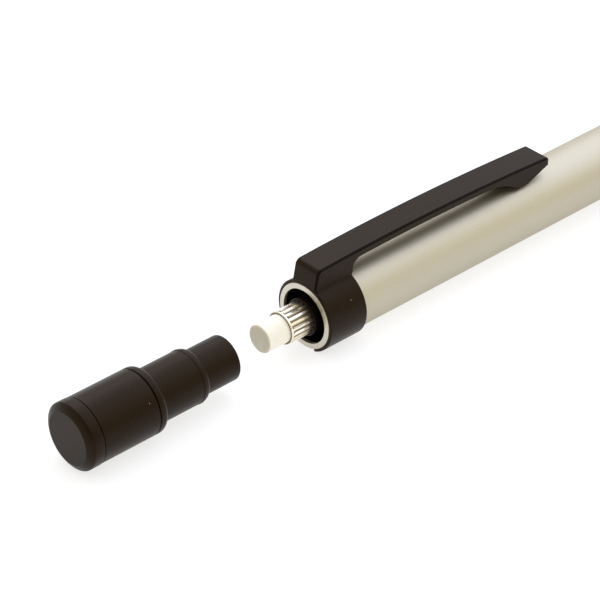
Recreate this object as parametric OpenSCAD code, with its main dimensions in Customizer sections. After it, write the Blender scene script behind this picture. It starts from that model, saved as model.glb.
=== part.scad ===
// Drafting pencil: a push-button lead holder with its cap drawn off and lying in line behind it.
// X runs along the pencil. The open end of the lead sleeve is at X = 0 and the rest lies behind it.
// Z is up, towards the clip, and the pencil is symmetrical about Y = 0. All sizes are in millimetres.

/* [Barrel] */
// Outside diameter of the barrel tube
barrel_d = 10; // [9.8:0.1:11.5]
// Wall of the metal barrel tube
barrel_wall = 0.45; // [0.4:0.01:0.5]
// Length of the barrel tube
barrel_len = 78; // [74:1:90]
// Length of the lip that is turned in at the barrel's mouth
lip_len = 0.6; // [0.4:0.1:1]
// Wall of the black liner inside the barrel
liner_wall = 0.33; // [0.3:0.01:0.36]
// How far the mouth's lip stands in from the liner, all round
lip_step = 0.02; // [0.01:0.01:0.04]

/* [Clip] */
// Length of the split ring that grips the barrel
clip_ring_len = 6.8; // [6:0.1:8]
// Wall of the split ring
clip_ring_wall = 0.5; // [0.4:0.05:0.7]
// Distance from the barrel's mouth to the ring's rear face
clip_inset = 0.2; // [0.1:0.05:0.5]
// Width of the slot under the ring
clip_slot_w = 4.1; // [3.5:0.1:5]
// Width of the head and the arm
clip_w = 4.8; // [4:0.1:5.4]
// Thickness of the arm
clip_arm_t = 1.06; // [0.9:0.02:1.4]
// Height of the arm's crest above the barrel
clip_rise = 3.66; // [3.3:0.02:4]
// Distance from the barrel's mouth to the crest
clip_crest = 19; // [17:1:24]
// Radius of the arm's slight bow
clip_bow_r = 430; // [400:5:500]
// Distance from the barrel's mouth to the clip's nose
clip_reach = 46.6; // [44:0.1:50]
// How far the head's rear face leans forward over its height
clip_rake = 0.6; // [0.4:0.1:1.5]
// Radius of the head's top rear corner
clip_head_r = 0.9; // [0.6:0.1:1.2]
// Radius of the fillet between ring and arm
clip_root_r = 1.7; // [1.2:0.1:1.9]
// Radius of the fillets where the head's sides meet the ring
clip_flank_r = 0.5; // [0.4:0.05:1]
// Size of the broken long edges on top of the arm
clip_edge = 0.4; // [0.2:0.05:0.5]
// Length of the lug's flat foot
lug_foot = 1.9; // [1.4:0.1:2.4]
// Distance from the lug's foot to the clip's nose
lug_setback = 4.5; // [4:0.1:5]
// Radius of the arch that runs from the arm down to the lug
lug_arch_r = 9.8; // [8:0.2:12]
// Depth of the nose where the slanted front of the lug ends
nose_depth = 1.05; // [0.8:0.05:1.2]
// Radius of the nose's corners
nose_r = 0.45; // [0.2:0.05:0.45]

/* [Cap] */
// Length of the cap's end band
cap_band_len = 2.4; // [2:0.1:3]
// Diameter of the flat on the cap's end
cap_flat_d = 7.8; // [7:0.1:8.4]
// Length of the rounding between the flat and the band
cap_round_len = 0.8; // [0.5:0.05:1]
// Thickness of the closed end of the cap
cap_end_t = 1.2; // [1:0.1:1.6]
// Length of the cap's outer shell
cap_shell_len = 9.4; // [8:0.1:12]
// Wall of the shell
cap_shell_wall = 0.95; // [0.7:0.05:1.1]
// How much slimmer the shell is than the barrel, all round
cap_shell_step = 0.06; // [0.03:0.01:0.1]
// Width of the fine joint between band and shell
cap_fine_joint = 0.1; // [0.05:0.01:0.15]
// Width of the open joint between shell and flange
cap_open_joint = 0.16; // [0.1:0.01:0.25]
// Length of the flange
cap_flange_len = 1.5; // [1.2:0.1:2]
// Length of the rounding on the flange's front edge
cap_flange_round = 0.9; // [0.6:0.05:1]
// Length of the neck that enters the barrel
neck_len = 8.1; // [7:0.1:9]
// Length of the rounded shoulder at the end of the neck
neck_shoulder = 0.85; // [0.6:0.05:1]
// Width of the raised bead behind the shoulder
bead_w = 0.45; // [0.3:0.05:0.6]
// Height of the raised bead
bead_h = 0.05; // [0.03:0.01:0.07]
// Length of the slim sleeve at the cap's front
cap_sleeve_len = 5.8; // [5:0.1:7]
// Wall of the slim sleeve
cap_sleeve_wall = 0.46; // [0.4:0.01:0.5]
// How far the cap travels from where it lies to its seat
cap_travel = 22; // [21:0.5:30]

/* [Eraser] */
// Diameter of the eraser
eraser_d = 4.32; // [4:0.02:4.4]
// Length of the eraser that stands out of the ferrule
eraser_out = 4; // [3:0.1:4.5]
// Length of the eraser inside the ferrule
eraser_held = 5.4; // [4:0.1:6]
// Width of the rounding worn on the eraser's edge
eraser_edge = 0.25; // [0.1:0.05:0.4]
// Outside diameter of the ferrule's rim
ferrule_d = 5.04; // [4.96:0.02:5.1]
// Length of the smooth rim
rim_len = 0.7; // [0.4:0.1:1]
// Length of the fluted band
flute_len = 3.25; // [2.5:0.05:4]
// Number of flutes
flute_count = 20; // [16:1:24]
// Radius of the round groove between two flutes
flute_r = 0.3; // [0.2:0.01:0.32]
// Depth of the groove
flute_depth = 0.16; // [0.1:0.01:0.18]
// Length of the ferrule's plug inside the reservoir
plug_len = 7.2; // [6:0.1:7.6]
// Wall of the ferrule's plug
plug_wall = 0.3; // [0.25:0.05:0.4]

/* [Push mechanism] */
// Travel of the push button
push_stroke = 4.5; // [4:0.1:5]
// Room left between flange and barrel when the button is pushed home
push_margin = 2; // [1.5:0.1:2.5]
// Outside diameter of the lead reservoir
reservoir_d = 5.7; // [5.6:0.02:5.8]
// Wall of the lead reservoir
reservoir_wall = 0.5; // [0.44:0.01:0.52]
// How far the reservoir stands out of the barrel's mouth
reservoir_proud = 0.4; // [0.2:0.1:0.8]
// Length of the coupler's head, between reservoir and spring
coupler_len = 10; // [8:0.5:12]
// Length of the coupler's plug inside the reservoir
coupler_plug = 5; // [4:0.5:6]
// Wall left round the mouth of the coupler's funnel
funnel_wall = 0.3; // [0.2:0.05:0.4]
// Length of the chuck
chuck_len = 32; // [30:1:36]
// Diameter of the chuck's stem
stem_d = 2; // [1.8:0.1:2.2]
// How deep the stem sits in the coupler
stem_held = 6; // [5:0.5:7]
// Length of the chuck's tapered head
chuck_head_len = 4.5; // [4:0.1:5]
// Diameter of the head's front
chuck_head_d = 3.5; // [3.3:0.1:3.6]
// How far the head stands back from the housing's front
chuck_setback = 0.3; // [0.2:0.05:0.5]
// Width of the slits between the jaws
jaw_slit = 0.2; // [0.15:0.05:0.3]
// Length of the slits
slit_len = 12; // [10:0.5:13]
// Length of the chuck ring
ring_len = 2.2; // [1.8:0.1:2.5]
// Outside diameter of the chuck ring
ring_d = 4.4; // [4.2:0.1:4.6]
// Travel of the chuck ring before it meets its stop
ring_stroke = 1; // [0.8:0.1:1.2]
// Length of the chuck housing
housing_len = 14.3; // [13:0.1:16]
// Wall of the chuck housing
housing_wall = 0.95; // [0.8:0.05:1]
// Thickness of the housing's rear wall, which seats the spring
housing_back = 1.2; // [1:0.1:1.6]
// Wire of the return spring
spring_wire = 0.4; // [0.3:0.02:0.46]
// Mean diameter of the return spring
spring_d = 3.8; // [3.4:0.1:4]
// Curls of the return spring
spring_curls = 8; // [6:1:8]

/* [Front end] */
// Width of the trim ring between barrel and grip
trim_len = 2; // [1.5:0.1:3]
// Length of the front coupling inside the barrel
coupling_plug = 12; // [10:0.5:14]
// Length of the front coupling inside the grip
coupling_spigot = 10; // [8:0.5:11]
// Outside diameter of the coupling's spigot
spigot_d = 7.8; // [7.6:0.1:8]
// Length of the grip
grip_len = 29; // [28:1:34]
// How much slimmer the grip's plain band is than the barrel, all round
grip_step = 0.2; // [0.1:0.01:0.3]
// Length of the plain band at the rear of the grip
band_len = 5; // [4:0.5:6]
// How much slimmer the knurled length is than the plain band, all round
knurl_step = 0.2; // [0.1:0.01:0.3]
// Length of the plain collar at the front of the grip
collar_len = 3; // [2:0.5:4]
// Width of the groove at each end of the knurled length
grip_groove_w = 0.5; // [0.3:0.1:0.8]
// Depth of the groove below the knurled length
grip_groove_h = 0.2; // [0.1:0.05:0.3]
// Length of the nose cone
cone_len = 11.5; // [11:0.1:14]
// Length of the straight base of the cone
cone_base_len = 1.2; // [0.8:0.1:2]
// How much slimmer the cone's base is than the grip's collar, all round
cone_step = 0.15; // [0.1:0.01:0.2]
// Diameter of the cone's front face
cone_front_d = 2.3; // [2.1:0.1:2.6]
// Length of the cone's threaded spigot inside the grip
cone_spigot = 7.5; // [6:0.5:8.5]
// How much slimmer the cone's spigot is than the coupling's, all round
cone_spigot_step = 0.1; // [0.05:0.01:0.15]
// Length of the lead sleeve outside the cone
sleeve_out = 4; // [3:0.1:4.5]
// Outside diameter of the lead sleeve
sleeve_d = 1; // [0.9:0.05:1.1]
// Outside diameter of the sleeve's base inside the cone
sleeve_base_d = 1.4; // [1.3:0.05:1.6]
// Length of the lead retainer
retainer_len = 1.5; // [1.2:0.1:1.8]
// Outside diameter of the lead retainer
retainer_d = 2; // [1.8:0.1:2.2]

/* [Lead] */
// Diameter of the lead
lead_d = 0.5; // [0.3:0.05:0.55]
// Length of a lead
lead_len = 60; // [56:1:60]
// How far the lead stands out of the sleeve
lead_out = 0.6; // [0.3:0.1:0.8]
// Number of spare leads in the reservoir
spare_count = 3; // [1:1:4]
// Room at each end of the spare leads, at the least
spare_setback = 0.3; // [0.2:0.1:1]

/* [Edges] */
// Size of the broken edges of the turned pieces
edge_break = 0.1; // [0.05:0.01:0.12]

/* [Clearances] */
// Between two pieces that are pressed together
press_gap = 0.02; // [0.01:0.01:0.03]
// Between two pieces that slide on each other
slide_gap = 0.05; // [0.03:0.01:0.07]
// Between the lead and the bores that guide it
lead_gap = 0.03; // [0.02:0.01:0.05]
// Between the lead and the wide bore that feeds it to the chuck
feed_gap = 0.2; // [0.15:0.05:0.3]
// Between the chuck's stem and the hole in its housing
stem_gap = 0.15; // [0.1:0.01:0.2]
// Between the opened jaws and the bore round them
jaw_gap = 0.2; // [0.15:0.05:0.3]
// Ahead of the jaws when the button is pushed home
jaw_end_gap = 0.5; // [0.3:0.1:0.6]
// Between the housing and the grip round it
housing_gap = 0.25; // [0.2:0.01:0.3]
// Between the cap's inner bore and the ferrule
ferrule_gap = 0.2; // [0.15:0.01:0.25]
// Between the cap's sleeve and the reservoir that it slides over
cap_gap = 0.08; // [0.05:0.01:0.1]
// Between the cap's neck and the barrel's mouth
neck_gap = 0.17; // [0.1:0.01:0.2]
// Between the moving reservoir and the front coupling round it
reservoir_gap = 0.4; // [0.3:0.05:0.5]
// Between two faces that stop a travel
stop_gap = 0.1; // [0.05:0.01:0.15]

/* [Hidden] */

$fn = 96;
cut = 0.5;          // how far a cutting shape runs past the face that it opens
arc_steps = 6;      // straight steps in a rounded corner
jaw_count = 3;      // jaws of the chuck
turn_rings = 8;     // wire sections in one curl of the spring
wire_sides = 6;     // sides of the spring's wire
crisp = 20;         // degrees by which the cap's end rounding starts late, which leaves an edge

// Places along X of the front end
cone_front_x = -sleeve_out;
cone_back_x = cone_front_x - cone_len;
grip_back_x = cone_back_x - grip_len;
barrel_front_x = grip_back_x - trim_len;
mouth_x = barrel_front_x - barrel_len;

// Radii from the barrel inwards
barrel_r = barrel_d / 2;
barrel_bore_r = barrel_r - barrel_wall;
liner_r = barrel_bore_r - press_gap;
liner_bore_r = liner_r - liner_wall;
mouth_r = liner_bore_r - lip_step;
neck_r = mouth_r - neck_gap;

// Radii from the lead outwards
lead_r = lead_d / 2;
sleeve_r = sleeve_d / 2;
stem_r = stem_d / 2;
lead_guide_r = lead_r + lead_gap;
coupler_bore_r = lead_r + feed_gap;
reservoir_r = reservoir_d / 2;
reservoir_bore_r = reservoir_r - reservoir_wall;
cap_bore_r = reservoir_r + cap_gap;
cap_sleeve_r = cap_bore_r + cap_sleeve_wall;

// Radii of the front end
coupling_bore_r = reservoir_r + reservoir_gap;
grip_r = barrel_r - grip_step;
knurl_r = grip_r - knurl_step;
grip_spigot_r = spigot_d / 2 + press_gap;
ring_r = ring_d / 2;
housing_bore_r = ring_r + slide_gap;
housing_r = housing_bore_r + housing_wall;
grip_bore_r = housing_r + housing_gap;
cone_spigot_r = spigot_d / 2 - cone_spigot_step;
cone_base_r = knurl_r - cone_step;
chuck_head_r = chuck_head_d / 2;
jaw_room_r = chuck_head_r + jaw_gap;

// Places along X of the chuck and what it carries
housing_front_x = cone_back_x + cone_base_len + stop_gap;
housing_back_x = housing_front_x - housing_len;
chuck_front_x = housing_front_x - chuck_setback;
chuck_back_x = chuck_front_x - chuck_len;
ring_front_x = housing_front_x - stop_gap - ring_stroke;
ring_back_x = ring_front_x - ring_len;
jaw_room_x = chuck_front_x + push_stroke + jaw_end_gap;
retainer_front_x = jaw_room_x + retainer_len + stop_gap;
coupler_front_x = chuck_back_x + stem_held;
coupler_back_x = coupler_front_x - coupler_len;
spare_front_x = coupler_back_x - coupler_plug - spare_setback;
spare_back_x = spare_front_x - lead_len;
reservoir_back_x = min(mouth_x - reservoir_proud, spare_back_x - spare_setback - plug_len + slide_gap);

// Places along X of the eraser, the ferrule and the cap
ferrule_seat_x = reservoir_back_x - slide_gap;
ferrule_back_x = ferrule_seat_x - flute_len - rim_len;
cap_standoff = push_stroke + push_margin;
flange_front_x = reservoir_back_x + reservoir_proud - cap_standoff - cap_travel;
flange_back_x = flange_front_x - cap_flange_len;
shell_front_x = flange_back_x - cap_open_joint;
shell_back_x = shell_front_x - cap_shell_len;
band_front_x = shell_back_x - cap_fine_joint;
cap_end_x = band_front_x - cap_band_len;
neck_front_x = flange_front_x + neck_len;
cap_front_x = neck_front_x + cap_sleeve_len;
cap_seat_x = reservoir_back_x - stop_gap - cap_travel;
cap_bottom_x = cap_end_x + cap_end_t;
cap_room_r = ferrule_d / 2 + ferrule_gap;
shell_r = barrel_r - cap_shell_step;
stem_tube_r = shell_r - cap_shell_wall - press_gap;

// A solid turned about the X axis, from points [x, r]
module turned(points) {
    rotate([0, 90, 0]) rotate_extrude() polygon([for (p = points) [p[1], p[0]]]);
}

// A round bar or bore about the X axis
module bar(from_x, to_x, r) {
    translate([from_x, 0, 0]) rotate([0, 90, 0]) cylinder(h = to_x - from_x, r = r);
}

// A round bar or bore whose radius changes evenly
module taper(from_x, to_x, from_r, to_r) {
    translate([from_x, 0, 0]) rotate([0, 90, 0]) cylinder(h = to_x - from_x, r1 = from_r, r2 = to_r);
}

// A plain tube about the X axis
module tube(from_x, to_x, r, bore_r) {
    difference() {
        bar(from_x, to_x, r);
        bar(from_x - cut, to_x + cut, bore_r);
    }
}

// Points of a quarter of an ellipse, from [x, r + h] at its back to [x + l, r] at its front
function front_round(x, r, l, h) =
    [for (i = [0:arc_steps]) let (a = 90 * i / arc_steps) [x + l * sin(a), r + h * cos(a)]];

// Points of a corner b between a and c, rounded with radius r
function rounded(a, b, c, r) =
    let (u = (a - b) / norm(a - b),
         w = (c - b) / norm(c - b),
         half = acos(u * w) / 2,
         centre = b + (u + w) / norm(u + w) * r / sin(half),
         start = b + u * r / tan(half) - centre,
         end = b + w * r / tan(half) - centre,
         first = atan2(start[1], start[0]),
         turn = (atan2(end[1], end[0]) - first + 540) % 360 - 180)
    [for (i = [0:arc_steps]) let (t = first + turn * i / arc_steps) centre + r * [cos(t), sin(t)]];

// Barrel: a metal tube with a lip turned in at its mouth
module barrel() {
    color("#cbc7ba") difference() {
        bar(mouth_x, barrel_front_x, barrel_r);
        bar(mouth_x - cut, barrel_front_x, mouth_r);
        bar(mouth_x + lip_len, barrel_front_x + cut, barrel_bore_r);
    }
}

// Liner: the black tube that shows inside the mouth
module barrel_liner() {
    color("#1d1b1a")
        tube(mouth_x + lip_len, barrel_front_x - coupling_plug, liner_r, liner_bore_r);
}

// Height of a bowed line along the arm, t below the arm's top
function arm_z(x, t) =
    barrel_r + clip_rise - clip_bow_r + sqrt(pow(clip_bow_r - t, 2) - pow(x - mouth_x - clip_crest, 2));

// Side view of the clip's head, arm and lug, as [x, z] points
function clip_side() =
    let (ring_back = mouth_x + clip_inset,
         ring_front = ring_back + clip_ring_len,
         foot_z = barrel_r + clip_ring_wall / 2,
         top_back = mouth_x + clip_rake,
         nose = mouth_x + clip_reach,
         foot_front = nose - lug_setback,
         foot_back = foot_front - lug_foot,
         lug_z = barrel_r + press_gap,
         arch_drop = arm_z(foot_back, clip_arm_t) - lug_z,
         arch_run = sqrt(pow(lug_arch_r, 2) - pow(lug_arch_r - arch_drop, 2)),
         arch_back = foot_back - arch_run,
         root = [ring_front, arm_z(ring_front, clip_arm_t)],
         crest_back = [top_back, arm_z(top_back, 0)],
         lead_in = clip_head_r / 2,
         nose_top = [nose, arm_z(nose, 0)],
         nose_foot = [nose, arm_z(nose, nose_depth)])
    concat(
        [[ring_front, foot_z], [mouth_x, foot_z]],
        rounded([mouth_x, foot_z], crest_back, [nose, arm_z(top_back, 0)], clip_head_r),
        [for (i = [1:arc_steps * 2 - 1])
            let (x = top_back + clip_head_r + (nose - top_back - 2 * clip_head_r) * i / arc_steps / 2)
            [x, arm_z(x, 0)]],
        rounded([nose - lead_in, arm_z(nose - lead_in, 0)], nose_top, nose_foot, nose_r),
        rounded(nose_top, nose_foot, [foot_front, lug_z], nose_r),
        [[foot_front, lug_z], [foot_back, lug_z]],
        [for (i = [1:arc_steps])
            let (x = foot_back - arch_run * i / arc_steps)
            [x, arm_z(x, clip_arm_t) - lug_arch_r + sqrt(pow(lug_arch_r, 2) - pow(x - arch_back, 2))]],
        [for (i = [1:arc_steps])
            let (x = arch_back + (ring_front + clip_root_r * 2 - arch_back) * i / arc_steps)
            [x, arm_z(x, clip_arm_t)]],
        rounded([ring_front + clip_root_r * 2, root[1]], root, [ring_front, foot_z], clip_root_r));

// Points of one fillet under the head, from the ring's surface up to the head's flat side
function flank(side) =
    let (ring_in = barrel_r + clip_ring_wall - press_gap,
         y = clip_w / 2 + clip_flank_r,
         z = sqrt(pow(ring_in + clip_flank_r, 2) - pow(y, 2)),
         low = atan2(z, y))
    [for (i = [0:arc_steps]) let (a = 180 + low * (1 - i / arc_steps))
        [side * (y + clip_flank_r * cos(a)), z + clip_flank_r * sin(a)]];

// End view of the split ring with the fillets under the head, as a flat shape in Y and Z
module clip_section() {
    left = flank(-1);
    right = flank(1);
    circle(r = barrel_r + clip_ring_wall);
    polygon(concat([[0, 0]], left, [for (i = [arc_steps:-1:0]) right[i]]));
}

// The wedge that breaks one long top edge of the clip, bent to the arm's bow
module clip_edge_cut(side) {
    bow_angle = 360 * clip_reach / (2 * PI * clip_bow_r);
    near = clip_bow_r - clip_edge;
    y = clip_w / 2;
    translate([mouth_x + clip_crest, 0, barrel_r + clip_rise - clip_bow_r])
        rotate([90, 0, 0])
            rotate([0, 0, 90 - bow_angle])
                rotate_extrude(angle = 2 * bow_angle, $fn = 720)
                    polygon([[near - cut, side * (y + cut)], [clip_bow_r + cut, side * (y + cut)],
                             [clip_bow_r + cut, side * (y - clip_edge - cut)]]);
}

// Clip: split ring, raked head, bowed arm and the lug that presses on the barrel
module clip() {
    ring_back = mouth_x + clip_inset;
    ring_front = ring_back + clip_ring_len;
    color("#37302b") difference() {
        union() {
            translate([ring_back, 0, 0]) rotate([90, 0, 90]) linear_extrude(clip_ring_len) clip_section();
            rotate([90, 0, 0]) linear_extrude(clip_w, center = true) polygon(clip_side());
        }
        bar(mouth_x - cut, ring_front + cut, barrel_r + press_gap);
        translate([mouth_x, -clip_slot_w / 2, -2 * barrel_r])
            cube([clip_inset + clip_ring_len + cut, clip_slot_w, 2 * barrel_r]);
        for (side = [-1, 1]) clip_edge_cut(side);
    }
}

// Trim ring: the black ring between barrel and grip
module trim_ring() {
    color("#2b2826") difference() {
        turned([[barrel_front_x, 0],
                [barrel_front_x, barrel_r - edge_break],
                [barrel_front_x + edge_break, barrel_r],
                [grip_back_x - edge_break, barrel_r],
                [grip_back_x, barrel_r - edge_break],
                [grip_back_x, 0]]);
        bar(barrel_front_x - cut, grip_back_x + cut, grip_spigot_r);
    }
}

// Front coupling: joins barrel and grip and guides the reservoir
module front_coupling() {
    color("#2b2826") difference() {
        union() {
            bar(barrel_front_x - coupling_plug, barrel_front_x, liner_r);
            bar(barrel_front_x - cut, grip_back_x + coupling_spigot, spigot_d / 2);
        }
        bar(barrel_front_x - coupling_plug - cut, grip_back_x + coupling_spigot + cut, coupling_bore_r);
    }
}

// Grip: plain band, knurled length and plain collar, screwed on to the coupling
module grip() {
    groove_r = knurl_r - grip_groove_h;
    knurl_back_x = grip_back_x + band_len;
    knurl_front_x = cone_back_x - collar_len;
    color("#b9b7b0") difference() {
        turned([[grip_back_x, 0], [grip_back_x, grip_r], [knurl_back_x, grip_r], [knurl_back_x, groove_r],
                [knurl_back_x + grip_groove_w, groove_r], [knurl_back_x + grip_groove_w, knurl_r],
                [knurl_front_x - grip_groove_w, knurl_r], [knurl_front_x - grip_groove_w, groove_r],
                [knurl_front_x, groove_r], [knurl_front_x, knurl_r], [cone_back_x, knurl_r], [cone_back_x, 0]]);
        bar(grip_back_x - cut, cone_back_x + cut, grip_bore_r);
        bar(grip_back_x - cut, grip_back_x + coupling_spigot + stop_gap, grip_spigot_r);
        bar(cone_back_x - cone_spigot - stop_gap, cone_back_x + cut, cone_spigot_r + press_gap);
    }
}

// Nose cone: screws into the grip, stops the chuck ring and holds retainer and sleeve
module nose_cone() {
    color("#c3c1ba") difference() {
        union() {
            bar(cone_back_x - cone_spigot, cone_back_x, cone_spigot_r);
            turned([[cone_back_x, 0], [cone_back_x, cone_base_r], [cone_back_x + cone_base_len, cone_base_r],
                    [cone_front_x, cone_front_d / 2], [cone_front_x, 0]]);
        }
        bar(cone_back_x - cone_spigot - cut, housing_front_x, housing_r + press_gap);
        bar(housing_front_x - cut, jaw_room_x, jaw_room_r);
        bar(jaw_room_x - cut, retainer_front_x, retainer_d / 2 + press_gap);
        bar(retainer_front_x - cut, cone_front_x + cut, sleeve_base_d / 2 + press_gap / 2);
    }
}

// Lead sleeve: the thin steel pipe that guides the lead along a ruler
module lead_sleeve() {
    color("#d8d8d6") difference() {
        union() {
            bar(retainer_front_x, cone_front_x, sleeve_base_d / 2);
            bar(retainer_front_x, 0, sleeve_r);
        }
        bar(retainer_front_x - cut, cut, lead_guide_r);
    }
}

// Lead retainer: the soft ring that keeps the lead from falling back
module lead_retainer() {
    color("#4a4745")
        tube(retainer_front_x - retainer_len, retainer_front_x, retainer_d / 2, lead_guide_r);
}

// Chuck housing: seats the spring behind and lets the chuck ring run in front
module chuck_housing() {
    color("#c9a75a") difference() {
        bar(housing_back_x, housing_front_x, housing_r);
        bar(housing_back_x + housing_back, housing_front_x + cut, housing_bore_r);
        bar(housing_back_x - cut, housing_front_x, stem_r + stem_gap);
    }
}

// Radius of the chuck's tapered head at x
function head_r(x) =
    stem_r + (chuck_head_r - stem_r) * (x - chuck_front_x + chuck_head_len) / chuck_head_len;

// Chuck: a brass collet with three jaws that grip the lead
module chuck() {
    color("#c9a75a") difference() {
        union() {
            bar(chuck_back_x, chuck_front_x - chuck_head_len, stem_r);
            taper(chuck_front_x - chuck_head_len, chuck_front_x, stem_r, chuck_head_r);
        }
        bar(chuck_back_x - cut, chuck_front_x + cut, lead_guide_r);
        for (jaw = [0:jaw_count - 1]) rotate([360 * jaw / jaw_count, 0, 0])
            translate([chuck_front_x - slit_len, -jaw_slit / 2, 0])
                cube([slit_len + cut, jaw_slit, 2 * chuck_head_r]);
    }
}

// Chuck ring: squeezes the jaws shut until it meets its stop in the nose cone
module chuck_ring() {
    color("#b08d45") difference() {
        bar(ring_back_x, ring_front_x, ring_r);
        taper(ring_back_x - cut, ring_front_x + cut,
              head_r(ring_back_x - cut) + slide_gap, head_r(ring_front_x + cut) + slide_gap);
    }
}

// Points of one wire section, turned a degrees round the spring at x
function wire_ring(x, a, slope) =
    [for (k = [0:wire_sides - 1])
        let (side_a = 360 * k / wire_sides,
             r = spring_d / 2 + spring_wire / 2 * cos(side_a),
             along = spring_wire / 2 * sin(side_a),
             across = along * sin(slope))
        [x + along * cos(slope), r * cos(a) + across * sin(a), r * sin(a) - across * cos(a)]];

// Return spring: one wire wound between coupler and housing
module return_spring() {
    rings = turn_rings * spring_curls;
    first_x = coupler_front_x + spring_wire / 2 + slide_gap;
    run = housing_back_x - coupler_front_x - spring_wire - 2 * slide_gap;
    slope = atan(run / (spring_curls * PI * spring_d));
    sections = [for (i = [0:rings]) wire_ring(first_x + run * i / rings, 360 * i / turn_rings, slope)];
    gaps = [for (i = [0:rings - turn_rings], p = sections[i], q = sections[i + turn_rings]) norm(p - q)];
    last = wire_sides * rings;
    echo(str("return_spring least gap to itself: ", min(gaps), " mm"));
    color("#a9a9a9") polyhedron(
        points = [for (ring = sections) each ring],
        faces = concat(
            [for (k = [1:wire_sides - 2]) [0, k, k + 1]],
            [for (k = [1:wire_sides - 2]) [last, last + k + 1, last + k]],
            [for (i = [0:rings - 1], k = [0:wire_sides - 1])
                let (a = wire_sides * i + k,
                     b = wire_sides * i + (k + 1) % wire_sides)
                each [[a, a + wire_sides, b + wire_sides], [a, b + wire_sides, b]]]));
}

// Reservoir coupler: joins reservoir and chuck, funnels the leads and seats the spring
module reservoir_coupler() {
    plug_back_x = coupler_back_x - coupler_plug;
    mouth_back_x = plug_back_x - press_gap;
    mouth_front_x = coupler_back_x - funnel_wall;
    color("#3b3a38") difference() {
        union() {
            bar(plug_back_x, coupler_back_x + cut, reservoir_bore_r - press_gap);
            bar(coupler_back_x, coupler_front_x, reservoir_r);
        }
        taper(mouth_back_x, mouth_front_x, reservoir_bore_r - funnel_wall, coupler_bore_r);
        bar(plug_back_x, coupler_front_x, coupler_bore_r);
        bar(chuck_back_x, coupler_front_x + cut, stem_r + press_gap / 2);
    }
}

// Reservoir: the black tube that holds the spare leads and takes the ferrule's plug
module reservoir() {
    color("#2a2624") tube(reservoir_back_x, coupler_back_x, reservoir_r, reservoir_bore_r);
}

// Spare leads, lying side by side along the bottom of the reservoir
module spare_leads() {
    lie_r = reservoir_bore_r - lead_r - slide_gap;
    pitch = 2 * asin((lead_r + slide_gap) / lie_r);
    color("#4b4b50") for (i = [0:spare_count - 1])
        rotate([(i - (spare_count - 1) / 2) * pitch, 0, 0])
            translate([0, 0, -lie_r]) bar(spare_back_x, spare_front_x, lead_r);
}

// Lead in use, from the sleeve back through chuck and coupler
module lead() {
    color("#4b4b50") bar(lead_out - lead_len, lead_out, lead_r);
}

// Ferrule: smooth rim, fluted band and the plug that pushes into the reservoir
module ferrule() {
    rim_front_x = ferrule_back_x + rim_len;
    flute_centre_r = ferrule_d / 2 + flute_r - flute_depth;
    plug_front_x = ferrule_seat_x + plug_len;
    plug_r = reservoir_bore_r - slide_gap;
    color("#d9d6cc") difference() {
        union() {
            bar(ferrule_back_x, ferrule_seat_x, ferrule_d / 2);
            bar(ferrule_seat_x - cut, plug_front_x, plug_r);
        }
        bar(ferrule_back_x - cut, ferrule_back_x + eraser_held, eraser_d / 2 + press_gap / 2);
        bar(ferrule_back_x, plug_front_x - plug_wall, plug_r - plug_wall);
        for (i = [0:flute_count - 1]) rotate([(i + 0.5) * 360 / flute_count, 0, 0])
            translate([0, 0, flute_centre_r]) bar(rim_front_x, ferrule_seat_x + slide_gap / 2, flute_r);
    }
}

// Eraser: the white stick held in the ferrule
module eraser() {
    back_x = ferrule_back_x - eraser_out;
    front_x = ferrule_back_x + eraser_held - press_gap;
    r = eraser_d / 2;
    color("#f1ece0") turned(concat([[front_x, 0], [front_x, r]],
        [for (i = [0:arc_steps]) let (a = 90 * i / arc_steps)
            [back_x + eraser_edge * (1 - sin(a)), r - eraser_edge * (1 - cos(a))]],
        [[back_x, 0]]));
}

// Cap stem: flange, neck, bead and slim sleeve, with the bore that grips the reservoir
module cap_stem() {
    tube_back_x = cap_bottom_x + stop_gap;
    straight_x = flange_front_x - cap_flange_round;
    shoulder_x = neck_front_x - neck_shoulder;
    bead_back_x = shoulder_x - bead_w;
    edge = cap_sleeve_wall / 2;
    color("#352e29") difference() {
        turned(concat(
            [[tube_back_x, 0], [tube_back_x, stem_tube_r], [flange_back_x, stem_tube_r],
             [flange_back_x, shell_r - edge_break], [flange_back_x + edge_break, shell_r],
             [straight_x, shell_r]],
            front_round(straight_x, neck_r, cap_flange_round, shell_r - neck_r),
            [[bead_back_x, neck_r], [bead_back_x + bead_h, neck_r + bead_h],
             [shoulder_x - bead_h, neck_r + bead_h]],
            front_round(shoulder_x, cap_sleeve_r, neck_shoulder, neck_r - cap_sleeve_r),
            front_round(cap_front_x - edge, cap_sleeve_r - edge, edge, edge),
            [[cap_front_x, 0]]));
        bar(cap_seat_x, cap_front_x + cut, cap_bore_r);
        bar(tube_back_x - cut, cap_seat_x + cut, cap_room_r);
    }
}

// Cap shell: the plain outer length of the head
module cap_shell() {
    color("#3a332e") difference() {
        turned([[shell_back_x, 0],
                [shell_back_x, shell_r - edge_break],
                [shell_back_x + edge_break, shell_r],
                [shell_front_x - edge_break, shell_r],
                [shell_front_x, shell_r - edge_break],
                [shell_front_x, 0]]);
        bar(shell_back_x - cut, shell_front_x + cut, stem_tube_r + press_gap);
    }
}

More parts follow.
